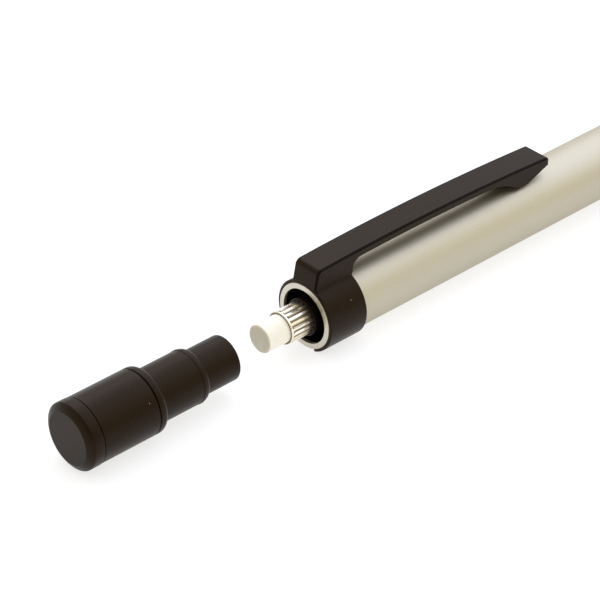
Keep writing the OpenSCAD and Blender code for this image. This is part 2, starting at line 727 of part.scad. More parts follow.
// Cap end plug: the flat, rounded end that closes the cap and takes the thumb
module cap_end_plug() {
    flat_r = cap_flat_d / 2;
    rise = barrel_r - flat_r;
    color("#3f3833") difference() {
        turned(concat([[cap_end_x, 0], [cap_end_x, flat_r]],
            [for (i = [1:arc_steps]) let (a = crisp + (90 - crisp) * i / arc_steps)
                [cap_end_x + cap_round_len * (1 - cos(a) / cos(crisp)),
                 flat_r + rise * (sin(a) - sin(crisp)) / (1 - sin(crisp))]],
            [[band_front_x - edge_break, barrel_r], [band_front_x, barrel_r - edge_break],
             [band_front_x, 0]]));
        bar(cap_bottom_x, band_front_x + cut, stem_tube_r + press_gap);
    }
}

barrel();
barrel_liner();
clip();
trim_ring();
front_coupling();
grip();
nose_cone();
lead_sleeve();
lead_retainer();
chuck_housing();
chuck();
chuck_ring();
return_spring();
reservoir_coupler();
reservoir();
spare_leads();
lead();
ferrule();
eraser();
cap_stem();
cap_shell();
cap_end_plug();
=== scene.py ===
"""Drafting pencil with its cap drawn off: detailed pieces and finishes for the frame, and a studio.

Lengths are in metres, in the frame's own axes: +X along the pencil out of its writing end, +Z up.
Places come from the frame's boxes. Sizes that no box shows are fields of the class that builds the
piece. Finishes count in millimetres.
"""

from __future__ import annotations

import logging
import math
from collections.abc import Callable, Mapping, Sequence
from dataclasses import dataclass, field
from enum import Enum, IntEnum
from typing import Any

import bmesh
import bpy
from mathutils import Matrix, Vector, noise


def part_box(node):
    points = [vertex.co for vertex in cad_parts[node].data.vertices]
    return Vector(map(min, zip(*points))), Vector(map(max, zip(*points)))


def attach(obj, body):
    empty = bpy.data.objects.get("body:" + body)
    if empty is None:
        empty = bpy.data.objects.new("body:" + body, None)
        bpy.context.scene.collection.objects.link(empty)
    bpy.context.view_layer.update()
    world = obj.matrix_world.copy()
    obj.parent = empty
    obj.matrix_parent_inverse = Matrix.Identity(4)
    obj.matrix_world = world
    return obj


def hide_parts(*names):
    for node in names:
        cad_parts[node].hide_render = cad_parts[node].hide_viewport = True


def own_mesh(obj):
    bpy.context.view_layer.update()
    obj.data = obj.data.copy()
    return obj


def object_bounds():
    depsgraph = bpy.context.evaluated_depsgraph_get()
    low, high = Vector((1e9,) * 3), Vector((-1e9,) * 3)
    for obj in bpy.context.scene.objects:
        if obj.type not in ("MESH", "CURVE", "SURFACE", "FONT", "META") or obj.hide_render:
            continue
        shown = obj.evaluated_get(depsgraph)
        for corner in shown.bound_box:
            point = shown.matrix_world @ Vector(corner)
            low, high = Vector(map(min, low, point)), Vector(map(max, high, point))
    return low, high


log = logging.getLogger("drafting_pencil")

MM = 0.001
PRESS_GAP = 0.02 * MM
WELD = 0.002 * MM
SMOOTH_ANGLE = math.radians(20)
ROUND_STEPS = 6
WHOLE_STEPS = 10
WHOLE_SIDE = 99.9
SPECK_CORE = 0.7
SPOT_CORE = 0.4

Colour = tuple[float, float, float, float]

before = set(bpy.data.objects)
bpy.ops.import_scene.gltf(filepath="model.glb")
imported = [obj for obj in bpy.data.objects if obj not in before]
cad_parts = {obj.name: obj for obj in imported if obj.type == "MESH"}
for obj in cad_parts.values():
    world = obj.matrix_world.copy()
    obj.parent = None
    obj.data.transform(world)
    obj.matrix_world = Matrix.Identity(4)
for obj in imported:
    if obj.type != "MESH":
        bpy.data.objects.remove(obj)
cad_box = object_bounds()
materials: dict[str, bpy.types.Material] = {}


class Value:
    """A number, colour or vector that a shader works out. Arithmetic on it adds Math nodes."""

    def __init__(self, graph: Graph, socket: bpy.types.NodeSocket | None) -> None:
        """Wraps an output socket of one of the graph's nodes."""
        self.graph = graph
        self.socket = socket

    def maths(self, operation: str, left: Value | float, right: Value | float) -> Value:
        """Adds one Math node and returns its result."""
        return self.graph.node("ShaderNodeMath", {"operation": operation}, {0: left, 1: right})

    def __add__(self, other: Value | float) -> Value:
        """Returns self + other."""
        return self.maths("ADD", self, other)

    def __radd__(self, other: float) -> Value:
        """Returns other + self."""
        return self.maths("ADD", other, self)

    def __sub__(self, other: Value | float) -> Value:
        """Returns self - other."""
        return self.maths("SUBTRACT", self, other)

    def __rsub__(self, other: float) -> Value:
        """Returns other - self."""
        return self.maths("SUBTRACT", other, self)

    def __mul__(self, other: Value | float) -> Value:
        """Returns self * other."""
        return self.maths("MULTIPLY", self, other)

    def __rmul__(self, other: float) -> Value:
        """Returns other * self."""
        return self.maths("MULTIPLY", other, self)

    def step(self, low: float, high: float) -> Value:
        """Returns a smooth rise from 0 at low to 1 at high."""
        return self.graph.node(
            "ShaderNodeMapRange", {"interpolation_type": "SMOOTHSTEP"}, {0: self, 1: low, 2: high}
        )

    def part(self, output: str) -> Value:
        """Returns another output of the same node."""
        return Value(self.graph, self.socket.node.outputs[output])

    def axis(self, name: str) -> Value:
        """Returns the X, Y or Z of a vector."""
        return self.graph.node("ShaderNodeSeparateXYZ", inputs={0: self}, output=name)


class Graph:
    """A node tree that is written as Python expressions."""

    def __init__(self, tree: bpy.types.NodeTree) -> None:
        """Empties the tree that the nodes go into."""
        self.tree = tree
        self.tree.nodes.clear()

    def node(
        self,
        kind: str,
        settings: Mapping[str, Any] | None = None,
        inputs: Mapping[int | str, Any] | None = None,
        output: int | str = 0,
    ) -> Value:
        """Adds one node.

        Args:
            kind: The node's type, such as ShaderNodeTexNoise.
            settings: Properties, which are set before the inputs.
            inputs: Numbers, colours or Values by the socket's name or index.
            output: The socket that is returned, by name or index.

        Returns:
            The wrapped output socket.
        """
        made = self.tree.nodes.new(kind)
        for name, value in (settings or {}).items():
            setattr(made, name, value)
        for key, value in (inputs or {}).items():
            if isinstance(value, Value):
                self.tree.links.new(value.socket, made.inputs[key])
            else:
                made.inputs[key].default_value = value
        return Value(self, made.outputs[output] if len(made.outputs) else None)

    def place(self) -> Value:
        """Returns the point's place on the object, in millimetres."""
        metres = self.node("ShaderNodeTexCoord", output="Object")
        return self.node("ShaderNodeVectorMath", {"operation": "SCALE"}, {0: metres, "Scale": 1 / MM})

    def stretched(self, along: float, across: float) -> Value:
        """Returns the place in millimetres, scaled along the pencil and across it."""
        factors = (along, across, across)
        return self.node("ShaderNodeVectorMath", {"operation": "MULTIPLY"}, {0: self.place(), 1: factors})

    def radius(self) -> Value:
        """Returns the point's distance from the pencil's axis, in millimetres."""
        return self.node(
            "ShaderNodeVectorMath", {"operation": "LENGTH"}, {0: self.stretched(0.0, 1.0)}, "Value"
        )

    def grain(self, vector: Value, size: float, detail: float = 2.0, seed: float = 0.0) -> Value:
        """Returns noise from 0 to 1, whose lumps are about size millimetres wide."""
        return self.node(
            "ShaderNodeTexNoise",
            {"noise_dimensions": "4D"},
            {"Vector": vector, "W": seed, "Scale": 1 / size, "Detail": detail},
        )

    def specks(self, cell: float, size: float, share: float) -> Value:
        """Returns a mask of small round specks.

        Args:
            cell: Distance between places where a speck may lie, in millimetres.
            size: Radius of a speck, in millimetres.
            share: Share of those places that have one.

        Returns:
            1 inside a speck and 0 elsewhere.
        """
        spread = {"Vector": self.place(), "Scale": 1 / cell}
        cells = self.node("ShaderNodeTexVoronoi", {"feature": "F1"}, spread)
        chosen = cells.part("Color").axis("X").step(1 - share, 1 - share * 0.98)
        near = 1 - cells.step(size / cell * SPECK_CORE, size / cell)
        return near * chosen

    def spot(self, point: Vector, size: float) -> Value:
        """Returns 1 at a point on the object and 0 beyond size; both are in millimetres."""
        away = self.node(
            "ShaderNodeVectorMath", {"operation": "DISTANCE"}, {0: self.place(), 1: point}, "Value"
        )
        return 1 - away.step(size * SPOT_CORE, size)

    def facing(self, way: Vector) -> Value:
        """Returns 1 where the sky lies in the given direction and -1 where it lies opposite."""
        direction = self.node("ShaderNodeTexCoord", output="Generated")
        return self.node(
            "ShaderNodeVectorMath", {"operation": "DOT_PRODUCT"}, {0: direction, 1: way}, "Value"
        )

    def mix(self, low: Value | Colour, high: Value | Colour, share: Value | float) -> Value:
        """Returns the colour between low and high at the given share of high."""
        return self.node("ShaderNodeMix", {"data_type": "RGBA"}, {0: share, 6: low, 7: high}, 2)

    def bump(self, height: Value, depth: float) -> Value:
        """Returns the normal of a surface whose height goes from 0 to depth, in millimetres."""
        return self.node("ShaderNodeBump", inputs={"Height": height, "Distance": depth * MM})


def rgba(red: float, green: float, blue: float) -> Colour:
    """Returns an opaque colour from its linear parts."""
    return (red, green, blue, 1.0)


def tinted(colour: Colour, factor: float) -> Colour:
    """Returns the colour made lighter or darker by a factor."""
    return rgba(*(part * factor for part in colour[:3]))


@dataclass(frozen=True)
class Finish:
    """A surface finish: a Principled shader whose colour, gloss and relief a subclass lays on."""

    name: str
    colour: Colour
    roughness: float
    metallic: float = 0.0
    constants: Mapping[str, Any] = field(default_factory=dict)

    def surface(self, graph: Graph) -> dict[str, Value]:
        """Returns the shader's inputs that change over the surface."""
        raise NotImplementedError

    def tone(self, graph: Graph, low: float, high: float, share: Value) -> Value:
        """Returns the finish's colour times a factor that goes from low to high with the share."""
        return graph.mix(tinted(self.colour, low), tinted(self.colour, high), share)

    def material(self) -> bpy.types.Material:
        """Makes the Blender material once for each finish.

        Returns:
            The material.
        """
        if self.name in materials:
            return materials[self.name]
        made = bpy.data.materials.new(self.name)
        materials[self.name] = made
        made.use_nodes = True
        graph = Graph(made.node_tree)
        inputs = {"Base Color": self.colour, "Roughness": self.roughness, "Metallic": self.metallic}
        inputs |= self.constants
        inputs |= self.surface(graph)
        shader = graph.node("ShaderNodeBsdfPrincipled", inputs=inputs, output="BSDF")
        graph.node("ShaderNodeOutputMaterial", inputs={"Surface": shader})
        return made


@dataclass(frozen=True)
class MouldedPlastic(Finish):
    """Matt moulded plastic: a fine spark texture, a slight unevenness of tone and a few dust specks."""

    texture_size: float = 0.26
    texture_depth: float = 0.024
    raised_tone: float = 2.6
    raised_share: float = 0.6
    cloud_size: float = 3.1
    dust: float = 0.0
    dust_cell: float = 1.6
    dust_size: float = 0.075
    dust_share: float = 0.02
    speck: Colour = (0.3, 0.27, 0.24, 1.0)
    fluff: tuple[Vector, ...] = ()
    fluff_size: float = 0.1

    def surface(self, graph: Graph) -> dict[str, Value]:
        """Lays the spark texture, the tone and the dust over the plastic.

        Args:
            graph: The material's node tree.

        Returns:
            The shader's inputs that change over the surface.
        """
        place = graph.place()
        cloud = graph.grain(place, self.cloud_size, 3.0)
        texture = graph.grain(place, self.texture_size, 3.0, seed=2.0)
        raised = texture.step(0.5, 0.75) * self.raised_share
        colour = self.tone(graph, 0.7, 1.3, cloud)
        colour = graph.mix(colour, tinted(self.colour, self.raised_tone), raised)
        if self.dust:
            specks = graph.specks(self.dust_cell, self.dust_size, self.dust_share)
            colour = graph.mix(colour, self.speck, specks * self.dust)
        for point in self.fluff:
            colour = graph.mix(colour, self.speck, graph.spot(point, self.fluff_size))
        return {
            "Base Color": colour,
            "Roughness": self.roughness - 0.05 + 0.1 * texture,
            "Normal": graph.bump(texture, self.texture_depth),
        }


@dataclass(frozen=True)
class SatinMetal(Finish):
    """Blasted and anodised metal: an even, fine satin with faint draw lines along the tube."""

    blast_size: float = 0.16
    blast_depth: float = 0.009
    line_size: float = 0.16
    cloud_size: float = 9.0

    def surface(self, graph: Graph) -> dict[str, Value]:
        """Lays the blasting and the draw lines over the metal.

        Args:
            graph: The material's node tree.

        Returns:
            The shader's inputs that change over the surface.
        """
        place = graph.place()
        blast = graph.grain(place, self.blast_size)
        lines = graph.grain(graph.stretched(0.02, 1.0), self.line_size, seed=4.0)
        cloud = graph.grain(place, self.cloud_size, seed=1.0)
        return {
            "Base Color": self.tone(graph, 0.84, 1.16, blast * 0.7 + lines * 0.15 + cloud * 0.15),
            "Roughness": self.roughness - 0.04 + 0.05 * blast + 0.04 * cloud,
            "Normal": graph.bump(blast * 0.85 + lines * 0.15, self.blast_depth),
        }


@dataclass(frozen=True)
class TurnedMetal(Finish):
    """Metal from the lathe: fine rings round the pencil's axis and a slight tarnish."""

    ring_size: float = 0.09
    ring_depth: float = 0.0025
    tarnish_and_shade: float = 0.1
    tarnish_size: float = 2.6

    def surface(self, graph: Graph) -> dict[str, Value]:
        """Lays the tool's rings and the tarnish over the metal.

        Args:
            graph: The material's node tree.

        Returns:
            The shader's inputs that change over the surface.
        """
        rings = graph.grain(graph.stretched(1.0, 0.004), self.ring_size)
        cloud = graph.grain(graph.place(), self.tarnish_size, 3.0, seed=5.0)
        dull = cloud.step(0.45, 0.75) * self.tarnish_and_shade
        return {
            "Base Color": self.tone(graph, 1.0, 0.55, dull),
            "Roughness": self.roughness - 0.03 + 0.08 * rings + 0.5 * dull,
            "Normal": graph.bump(rings, self.ring_depth),
        }


@dataclass(frozen=True)
class FacedMetal(Finish):
    """A bare end face with the fine circles of a facing tool."""

    circle_size: float = 0.05
    circle_depth: float = 0.002

    def surface(self, graph: Graph) -> dict[str, Value]:
        """Lays the circles over the metal.

        Args:
            graph: The material's node tree.

        Returns:
            The shader's inputs that change over the surface.
        """
        circles = graph.node(
            "ShaderNodeTexNoise",
            {"noise_dimensions": "1D"},
            {"W": graph.radius(), "Scale": 1 / self.circle_size, "Detail": 2.0},
        )
        return {
            "Base Color": self.tone(graph, 0.94, 1.03, circles),
            "Roughness": self.roughness - 0.03 + 0.07 * circles,
            "Normal": graph.bump(circles, self.circle_depth),
        }


@dataclass(frozen=True)
class BrightPlate(Finish):
    """Bright nickel plate with soft rub marks, and painted brown shade that is laid low in the flutes."""

    # Painted shade: the dark brown laid into the bottoms of the flutes.
    tarnish_and_shade: Colour = (0.11, 0.065, 0.025, 1.0)
    shade_none_r: float = 0.0
    shade_full_r: float = 0.0
    flutes_end: float = 0.0
    flutes_fade: float = 0.1
    rub_size: float = 0.12
    rub_depth: float = 0.0006

    def surface(self, graph: Graph) -> dict[str, Value]:
        """Lays the rub marks over the plate and paints brown shade into its flutes.

        Args:
            graph: The material's node tree.

        Returns:
            The shader's inputs that change over the surface.
        """
        rubs = graph.grain(graph.stretched(0.3, 1.0), self.rub_size, 3.0, seed=3.0)
        end = self.flutes_end / MM
        past = graph.place().axis("X").step(end, end + self.flutes_fade)
        # Painted shade: a mask that is full at the flutes' bottoms and fades out towards the band's
        # outside and past the flutes' end.
        low = (1 - graph.radius().step(self.shade_full_r / MM, self.shade_none_r / MM)) * (1 - past)
        return {
            "Base Color": graph.mix(self.tone(graph, 0.93, 1.0, rubs), self.tarnish_and_shade, low * 0.9),
            "Roughness": self.roughness - 0.03 + 0.09 * rubs + 0.15 * low,
            "Normal": graph.bump(rubs, self.rub_depth),
        }


@dataclass(frozen=True)
class EraserVinyl(Finish):
    """White vinyl, soft and slightly see-through, with faint pores and painted shade that greys its end.
    """

    # Painted shade: the grey-yellow laid over the eraser's worn end to darken it.
    worn: Colour = (0.5, 0.46, 0.34, 1.0)
    end_shade_full: float = 0.08
    end_shade_none: float = 0.4
    end_x: float = 0.0
    pore_size: float = 0.08
    pore_depth: float = 0.006
    cloud_size: float = 0.9

    def surface(self, graph: Graph) -> dict[str, Value]:
        """Lays the pores over the vinyl and paints shade on its end.

        Args:
            graph: The material's node tree.

        Returns:
            The shader's inputs that change over the surface.
        """
        place = graph.place()
        pores = graph.grain(place, self.pore_size, 3.0)
        cloud = graph.grain(place, self.cloud_size, 3.0, seed=7.0)
        end = self.end_x / MM
        # Painted shade: full on the end face, fading out along the sides.
        end_shade_share = 1 - place.axis("X").step(end + self.end_shade_full, end + self.end_shade_none)
        unshaded_vinyl = self.tone(graph, 0.96, 1.02, cloud)
        return {
            "Base Color": graph.mix(unshaded_vinyl, self.worn, end_shade_share * (0.6 + 0.3 * cloud)),
            "Roughness": self.roughness - 0.04 + 0.1 * pores,
            "Normal": graph.bump(pores, self.pore_depth),
        }


@dataclass(frozen=True)
class Graphite(Finish):
    """Pencil lead: dark grey with a slight sheen and lines along its length."""

    line_size: float = 0.05
    line_depth: float = 0.003

    def surface(self, graph: Graph) -> dict[str, Value]:
        """Lays the lines of the extruded lead over it."""
        lines = graph.grain(graph.stretched(0.15, 1.0), self.line_size, 3.0)
        return {
            "Base Color": self.tone(graph, 0.7, 1.4, lines),
            "Roughness": self.roughness - 0.05 + 0.15 * lines,
            "Normal": graph.bump(lines, self.line_depth),
        }


@dataclass(frozen=True)
class PaleCard(Finish):
    """Matt white card for the pencil to lie on."""

    fibre_size: float = 0.5

    def surface(self, graph: Graph) -> dict[str, Value]:
        """Lays a faint fibre over the card."""
        fibre = graph.grain(graph.place(), self.fibre_size, 3.0)
        return {"Base Color": self.tone(graph, 0.985, 1.0, fibre)}


BLACK = MouldedPlastic(
    "matt_black_plastic",
    rgba(0.0054, 0.0031, 0.0015),
    0.37,
    constants={"Specular IOR Level": 0.18, "Specular Tint": rgba(1.0, 0.67, 0.43)},
    dust=0.6,
    fluff=(Vector((-155.87, -4.11, 2.74)), Vector((-119.85, -4.64, 2.95))),
)
# Painted shade: a black plastic that reflects little, laid on the clip's rounded long edges as a dark
# line.
SHADE_LINE_PLASTIC = MouldedPlastic(
    "black_edge_painted_shade", rgba(0.006, 0.0038, 0.0022), 0.3, constants={"Specular IOR Level": 0.04}
)
BLACK_TUBE = MouldedPlastic(
    "black_tube_plastic",
    rgba(0.006, 0.0035, 0.0026),
    0.3,
    constants={"Specular IOR Level": 0.1, "Specular Tint": rgba(1.0, 0.76, 0.58)},
)
BLACK_INNER = MouldedPlastic(
    "black_inner_plastic", rgba(0.004, 0.003, 0.0026), 0.6, constants={"Specular IOR Level": 0.1}
)
SATIN = SatinMetal(
    "satin_champagne_tube",
    rgba(0.555, 0.52, 0.425),
    0.56,
    1.0,
    constants={"Specular Tint": rgba(0.7, 0.7, 0.7)},
)
LIP = FacedMetal("faced_tube_end", rgba(0.6, 0.565, 0.49), 0.32, 1.0)
GRIP_METAL = SatinMetal("satin_grip", rgba(0.4, 0.39, 0.37), 0.36, 1.0, blast_size=0.05)
CONE_METAL = TurnedMetal("turned_cone", rgba(0.46, 0.45, 0.43), 0.28, 1.0)
STEEL = TurnedMetal("drawn_steel", rgba(0.55, 0.55, 0.54), 0.2, 1.0, ring_size=0.04, ring_depth=0.001)
BRASS = TurnedMetal("turned_brass", rgba(0.76, 0.56, 0.24), 0.24, 1.0, tarnish_and_shade=0.35)
RUBBER = MouldedPlastic("soft_retainer_rubber", rgba(0.03, 0.03, 0.03), 0.8)
GRAPHITE = Graphite("pencil_lead", rgba(0.05, 0.05, 0.055), 0.38)
CARD = PaleCard(
    "pale_card",
    rgba(0.34, 0.34, 0.35),
    0.9,
    constants={"Emission Color": rgba(1.0, 1.0, 1.0), "Emission Strength": 0.73},
)


@dataclass(frozen=True)
class Corner:
    """One corner of a turned section.

    Attributes:
        x: Place along the pencil.
        r: Distance from its axis.
        round: Radius of the corner's rounding, or 0 for a sharp one.
        whole: True where the rounding takes up both sides of the corner, whatever their lengths.
        cuts: Rows that the side after this corner is cut into, less one.
    """

    x: float
    r: float
    round: float = 0.0
    whole: bool = False
    cuts: int = 0

    @property
    def point(self) -> Vector:
        """The corner's place in the section."""
        return Vector((self.x, 0, self.r))


class Section(Enum):
    """How a turned section ends."""

    CLOSED = "a ring of corners, which makes a tube"
    ON_AXIS = "a line whose two ends lie on the axis, which makes a solid"


class Reach(Enum):
    """What the reach of a rounding counts."""

    LENGTH = "OFFSET"
    SHARE = "PERCENT"


class Joining(Enum):
    """What is done with the second of two closed meshes."""

    ADD = "UNION"
    CUT = "DIFFERENCE"


def turned(
    corners: Sequence[Corner], kind: Section = Section.CLOSED, columns: int = 128
) -> bmesh.types.BMesh:
    """Draws a section, rounds its corners and spins it round the pencil's axis.

    Args:
        corners: The section's corners in order.
        kind: Whether they close into a ring or end on the axis.
        columns: Steps of the spin.

    Returns:
        A closed mesh whose faces point outwards.
    """
    mesh = bmesh.new()
    verts = [mesh.verts.new(corner.point) for corner in corners]
    edges = [mesh.edges.new(pair) for pair in zip(verts, verts[1:])]
    if kind is Section.CLOSED:
        edges.append(mesh.edges.new((verts[-1], verts[0])))
    for i, corner in enumerate(corners):
        if corner.whole:
            round_vertex(mesh, verts[i], WHOLE_SIDE, WHOLE_STEPS, Reach.SHARE)
        elif corner.round:
            following = corners[(i + 1) % len(corners)]
            reach = tangent_reach(corners[i - 1].point, corner.point, following.point, corner.round)
            round_vertex(mesh, verts[i], reach, ROUND_STEPS)
    for corner, following in zip(corners, corners[1:]):
        if corner.cuts:
            side = side_between(mesh, corner.point, following.point)
            bmesh.ops.bisect_edges(mesh, edges=[side], cuts=corner.cuts)
    bmesh.ops.spin(
        mesh,
        geom=mesh.verts[:] + mesh.edges[:],
        cent=(0, 0, 0),
        axis=(1, 0, 0),
        angle=math.tau,
        steps=columns,
        use_merge=True,
    )
    closed(mesh)
    return mesh


def tangent_reach(before: Vector, corner: Vector, after: Vector, radius: float) -> float:
    """Returns how far from a corner a rounding of the given radius starts."""
    return radius / math.tan((before - corner).angle(after - corner) / 2)


def round_vertex(
    mesh: bmesh.types.BMesh,
    vert: bmesh.types.BMVert,
    reach: float,
    steps: int,
    unit: Reach = Reach.LENGTH,
) -> None:
    """Rounds one corner of a flat outline.

    Args:
        mesh: The mesh that holds the outline.
        vert: The corner.
        reach: How far from the corner the rounding starts, as a length or a percentage of its sides.
        steps: Edges of the rounding.
        unit: Which of the two the reach is.
    """
    bmesh.ops.bevel(
        mesh,
        geom=[vert],
        offset=reach,
        offset_type=unit.value,
        segments=steps,
        profile=0.5,
        affect="VERTICES",
        material=-1,
    )


def side_between(mesh: bmesh.types.BMesh, start: Vector, end: Vector) -> bmesh.types.BMEdge:
    """Returns the side of an outline whose middle lies nearest to the middle of two points."""
    middle = (start + end) / 2
    return min(mesh.edges, key=lambda side: ((side.verts[0].co + side.verts[1].co) / 2 - middle).length)


def vert_at(mesh: bmesh.types.BMesh, point: Vector) -> bmesh.types.BMVert:
    """Returns the vertex nearest to a point."""
    return min(mesh.verts, key=lambda vert: (vert.co - point).length)


def closed(mesh: bmesh.types.BMesh) -> None:
    """Merges the doubles of a finished mesh and turns its faces outwards."""
    bmesh.ops.remove_doubles(mesh, verts=mesh.verts, dist=WELD)
    bmesh.ops.recalc_face_normals(mesh, faces=mesh.faces)


def stored(mesh: bmesh.types.BMesh, name: str) -> bpy.types.Mesh:
    """Moves a mesh into new mesh data and frees it.

    Args:
        mesh: The mesh.
        name: The data's name.

    Returns:
        The mesh data.
    """
    data = bpy.data.meshes.new(name)
    mesh.to_mesh(data)
    mesh.free()
    return data


def placed(name: str, data: bpy.types.ID) -> bpy.types.Object:
    """Makes an object and links it to the scene.

    Args:
        name: The object's name.
        data: Its mesh, light or camera.

    Returns:
        The object.
    """
    made = bpy.data.objects.new(name, data)
    bpy.context.scene.collection.objects.link(made)
    return made


def combined(body: bmesh.types.BMesh, tool: bmesh.types.BMesh, joining: Joining) -> bmesh.types.BMesh:
    """Joins two closed meshes, or cuts one with the other.

    Args:
        body: The mesh that is kept or cut. It is freed.
        tool: The mesh that is added or taken away. It is freed.
        joining: What is done with the tool.

    Returns:
        The result.
    """
    pair = [
        placed(name, stored(mesh, name))
        for name, mesh in (("joined_body", body), ("joining_tool", tool))
    ]
    boolean = pair[0].modifiers.new("boolean", "BOOLEAN")
    boolean.operation = joining.value
    boolean.solver = "EXACT"
    boolean.object = pair[1]
    result = bmesh.new()
    result.from_object(pair[0], bpy.context.evaluated_depsgraph_get())
    for made in pair:
        bpy.data.meshes.remove(made.data)
    return result


@dataclass
class Piece:
    """A finished piece: its mesh becomes an object that rides on a body and stands for CAD nodes."""

    name: str
    body: str
    nodes: tuple[str, ...]
    slot: str
    finish: Finish

    def dress(
        self, mesh: bmesh.types.BMesh, extra: Sequence[Finish] = (), edge: float = 0.0
    ) -> bpy.types.Object:
        """Makes the object.

        Args:
            mesh: The piece's mesh, in place. It is freed.
            extra: Finishes for the faces whose material index is 1 or more.
            edge: Width of the bevel that breaks the sharp edges left, or 0 for none.

        Returns:
            The object, riding on its body.
        """
        data = stored(mesh, self.name)
        data.shade_smooth()
        data.set_sharp_from_angle(angle=SMOOTH_ANGLE)
        for finish in (self.finish, *extra):
            data.materials.append(finish.material())
        made = placed(self.name, data)
        if edge:
            bevel = made.modifiers.new("broken_edges", "BEVEL")
            bevel.width = edge
            bevel.segments = 2
            bevel.angle_limit = SMOOTH_ANGLE
        weighted = made.modifiers.new("even_normals", "WEIGHTED_NORMAL")
        weighted.keep_sharp = True
        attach(made, self.body)
        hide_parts(*self.nodes)
        nodes = ", ".join(self.nodes)
        log.info("%s: %d faces, on %s, for %s", self.name, len(data.polygons), self.body, nodes)
        return made


def dress_node(node: str, finish: Finish) -> None:
    """Gives a CAD node that stays as it is a better material.

    Args:
        node: The node's name.
        finish: Its finish.
    """
    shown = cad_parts[node]
    shown.data.materials.clear()
    shown.data.materials.append(finish.material())
    log.info("%s: kept from the frame, finished in %s", node, finish.name)


@dataclass
class Barrel:
    """The metal tube, its liner, and the black band and coupling in front of it."""

    mouth_r: float = 4.18 * MM
    bore_r: float = 4.55 * MM
    lip_len: float = 0.6 * MM
    lip_edge: float = 0.14 * MM
    end_edge: float = 0.08 * MM
    bare_share: float = 0.6
    band_bore_r: float = 3.92 * MM
    band_edge: float = 0.15 * MM

    def build(self) -> None:
        """Makes the tube and the band, and finishes the liner and the coupling."""
        self.tube()
        self.band()
        dress_node("barrel_liner", BLACK_INNER)
        dress_node("front_coupling", BLACK_INNER)

    def tube(self) -> None:
        """Makes the tube, whose turned-in end face is bare and bright."""
        low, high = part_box("barrel")
        mesh = turned(
            [
                Corner(low.x, high.z, self.lip_edge),
                Corner(high.x, high.z, self.end_edge),
                Corner(high.x, self.bore_r, self.end_edge),
                Corner(low.x + self.lip_len, self.bore_r),
                Corner(low.x + self.lip_len, self.mouth_r, self.end_edge),
                Corner(low.x, self.mouth_r, self.end_edge),
            ]
        )
        bare_from = low.x + self.lip_edge * self.bare_share
        for face in mesh.faces:
            face.material_index = int(face.calc_center_median().x < bare_from)
        Piece("barrel_tube", "holder", ("barrel",), "barrel_aluminium", SATIN).dress(mesh, (LIP,))

    def band(self) -> None:
        """Makes the black band between tube and grip."""
        low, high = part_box("trim_ring")
        mesh = turned(
            [
                Corner(low.x, high.z, self.band_edge),
                Corner(high.x, high.z, self.band_edge),
                Corner(high.x, self.band_bore_r),
                Corner(low.x, self.band_bore_r),
            ]
        )
        Piece("trim_band", "holder", ("trim_ring",), "black_plastic", BLACK).dress(mesh)


class ArmCorner(IntEnum):
    """Corners of the clip's side view, in their order round it."""

    RING_FRONT = 0
    RING_BACK = 1
    HEAD = 2
    NOSE_TOP = 3
    NOSE_LOW = 4
    FOOT_FRONT = 5
    FOOT_BACK = 6
    ARCH_BACK = 7
    ROOT = 8


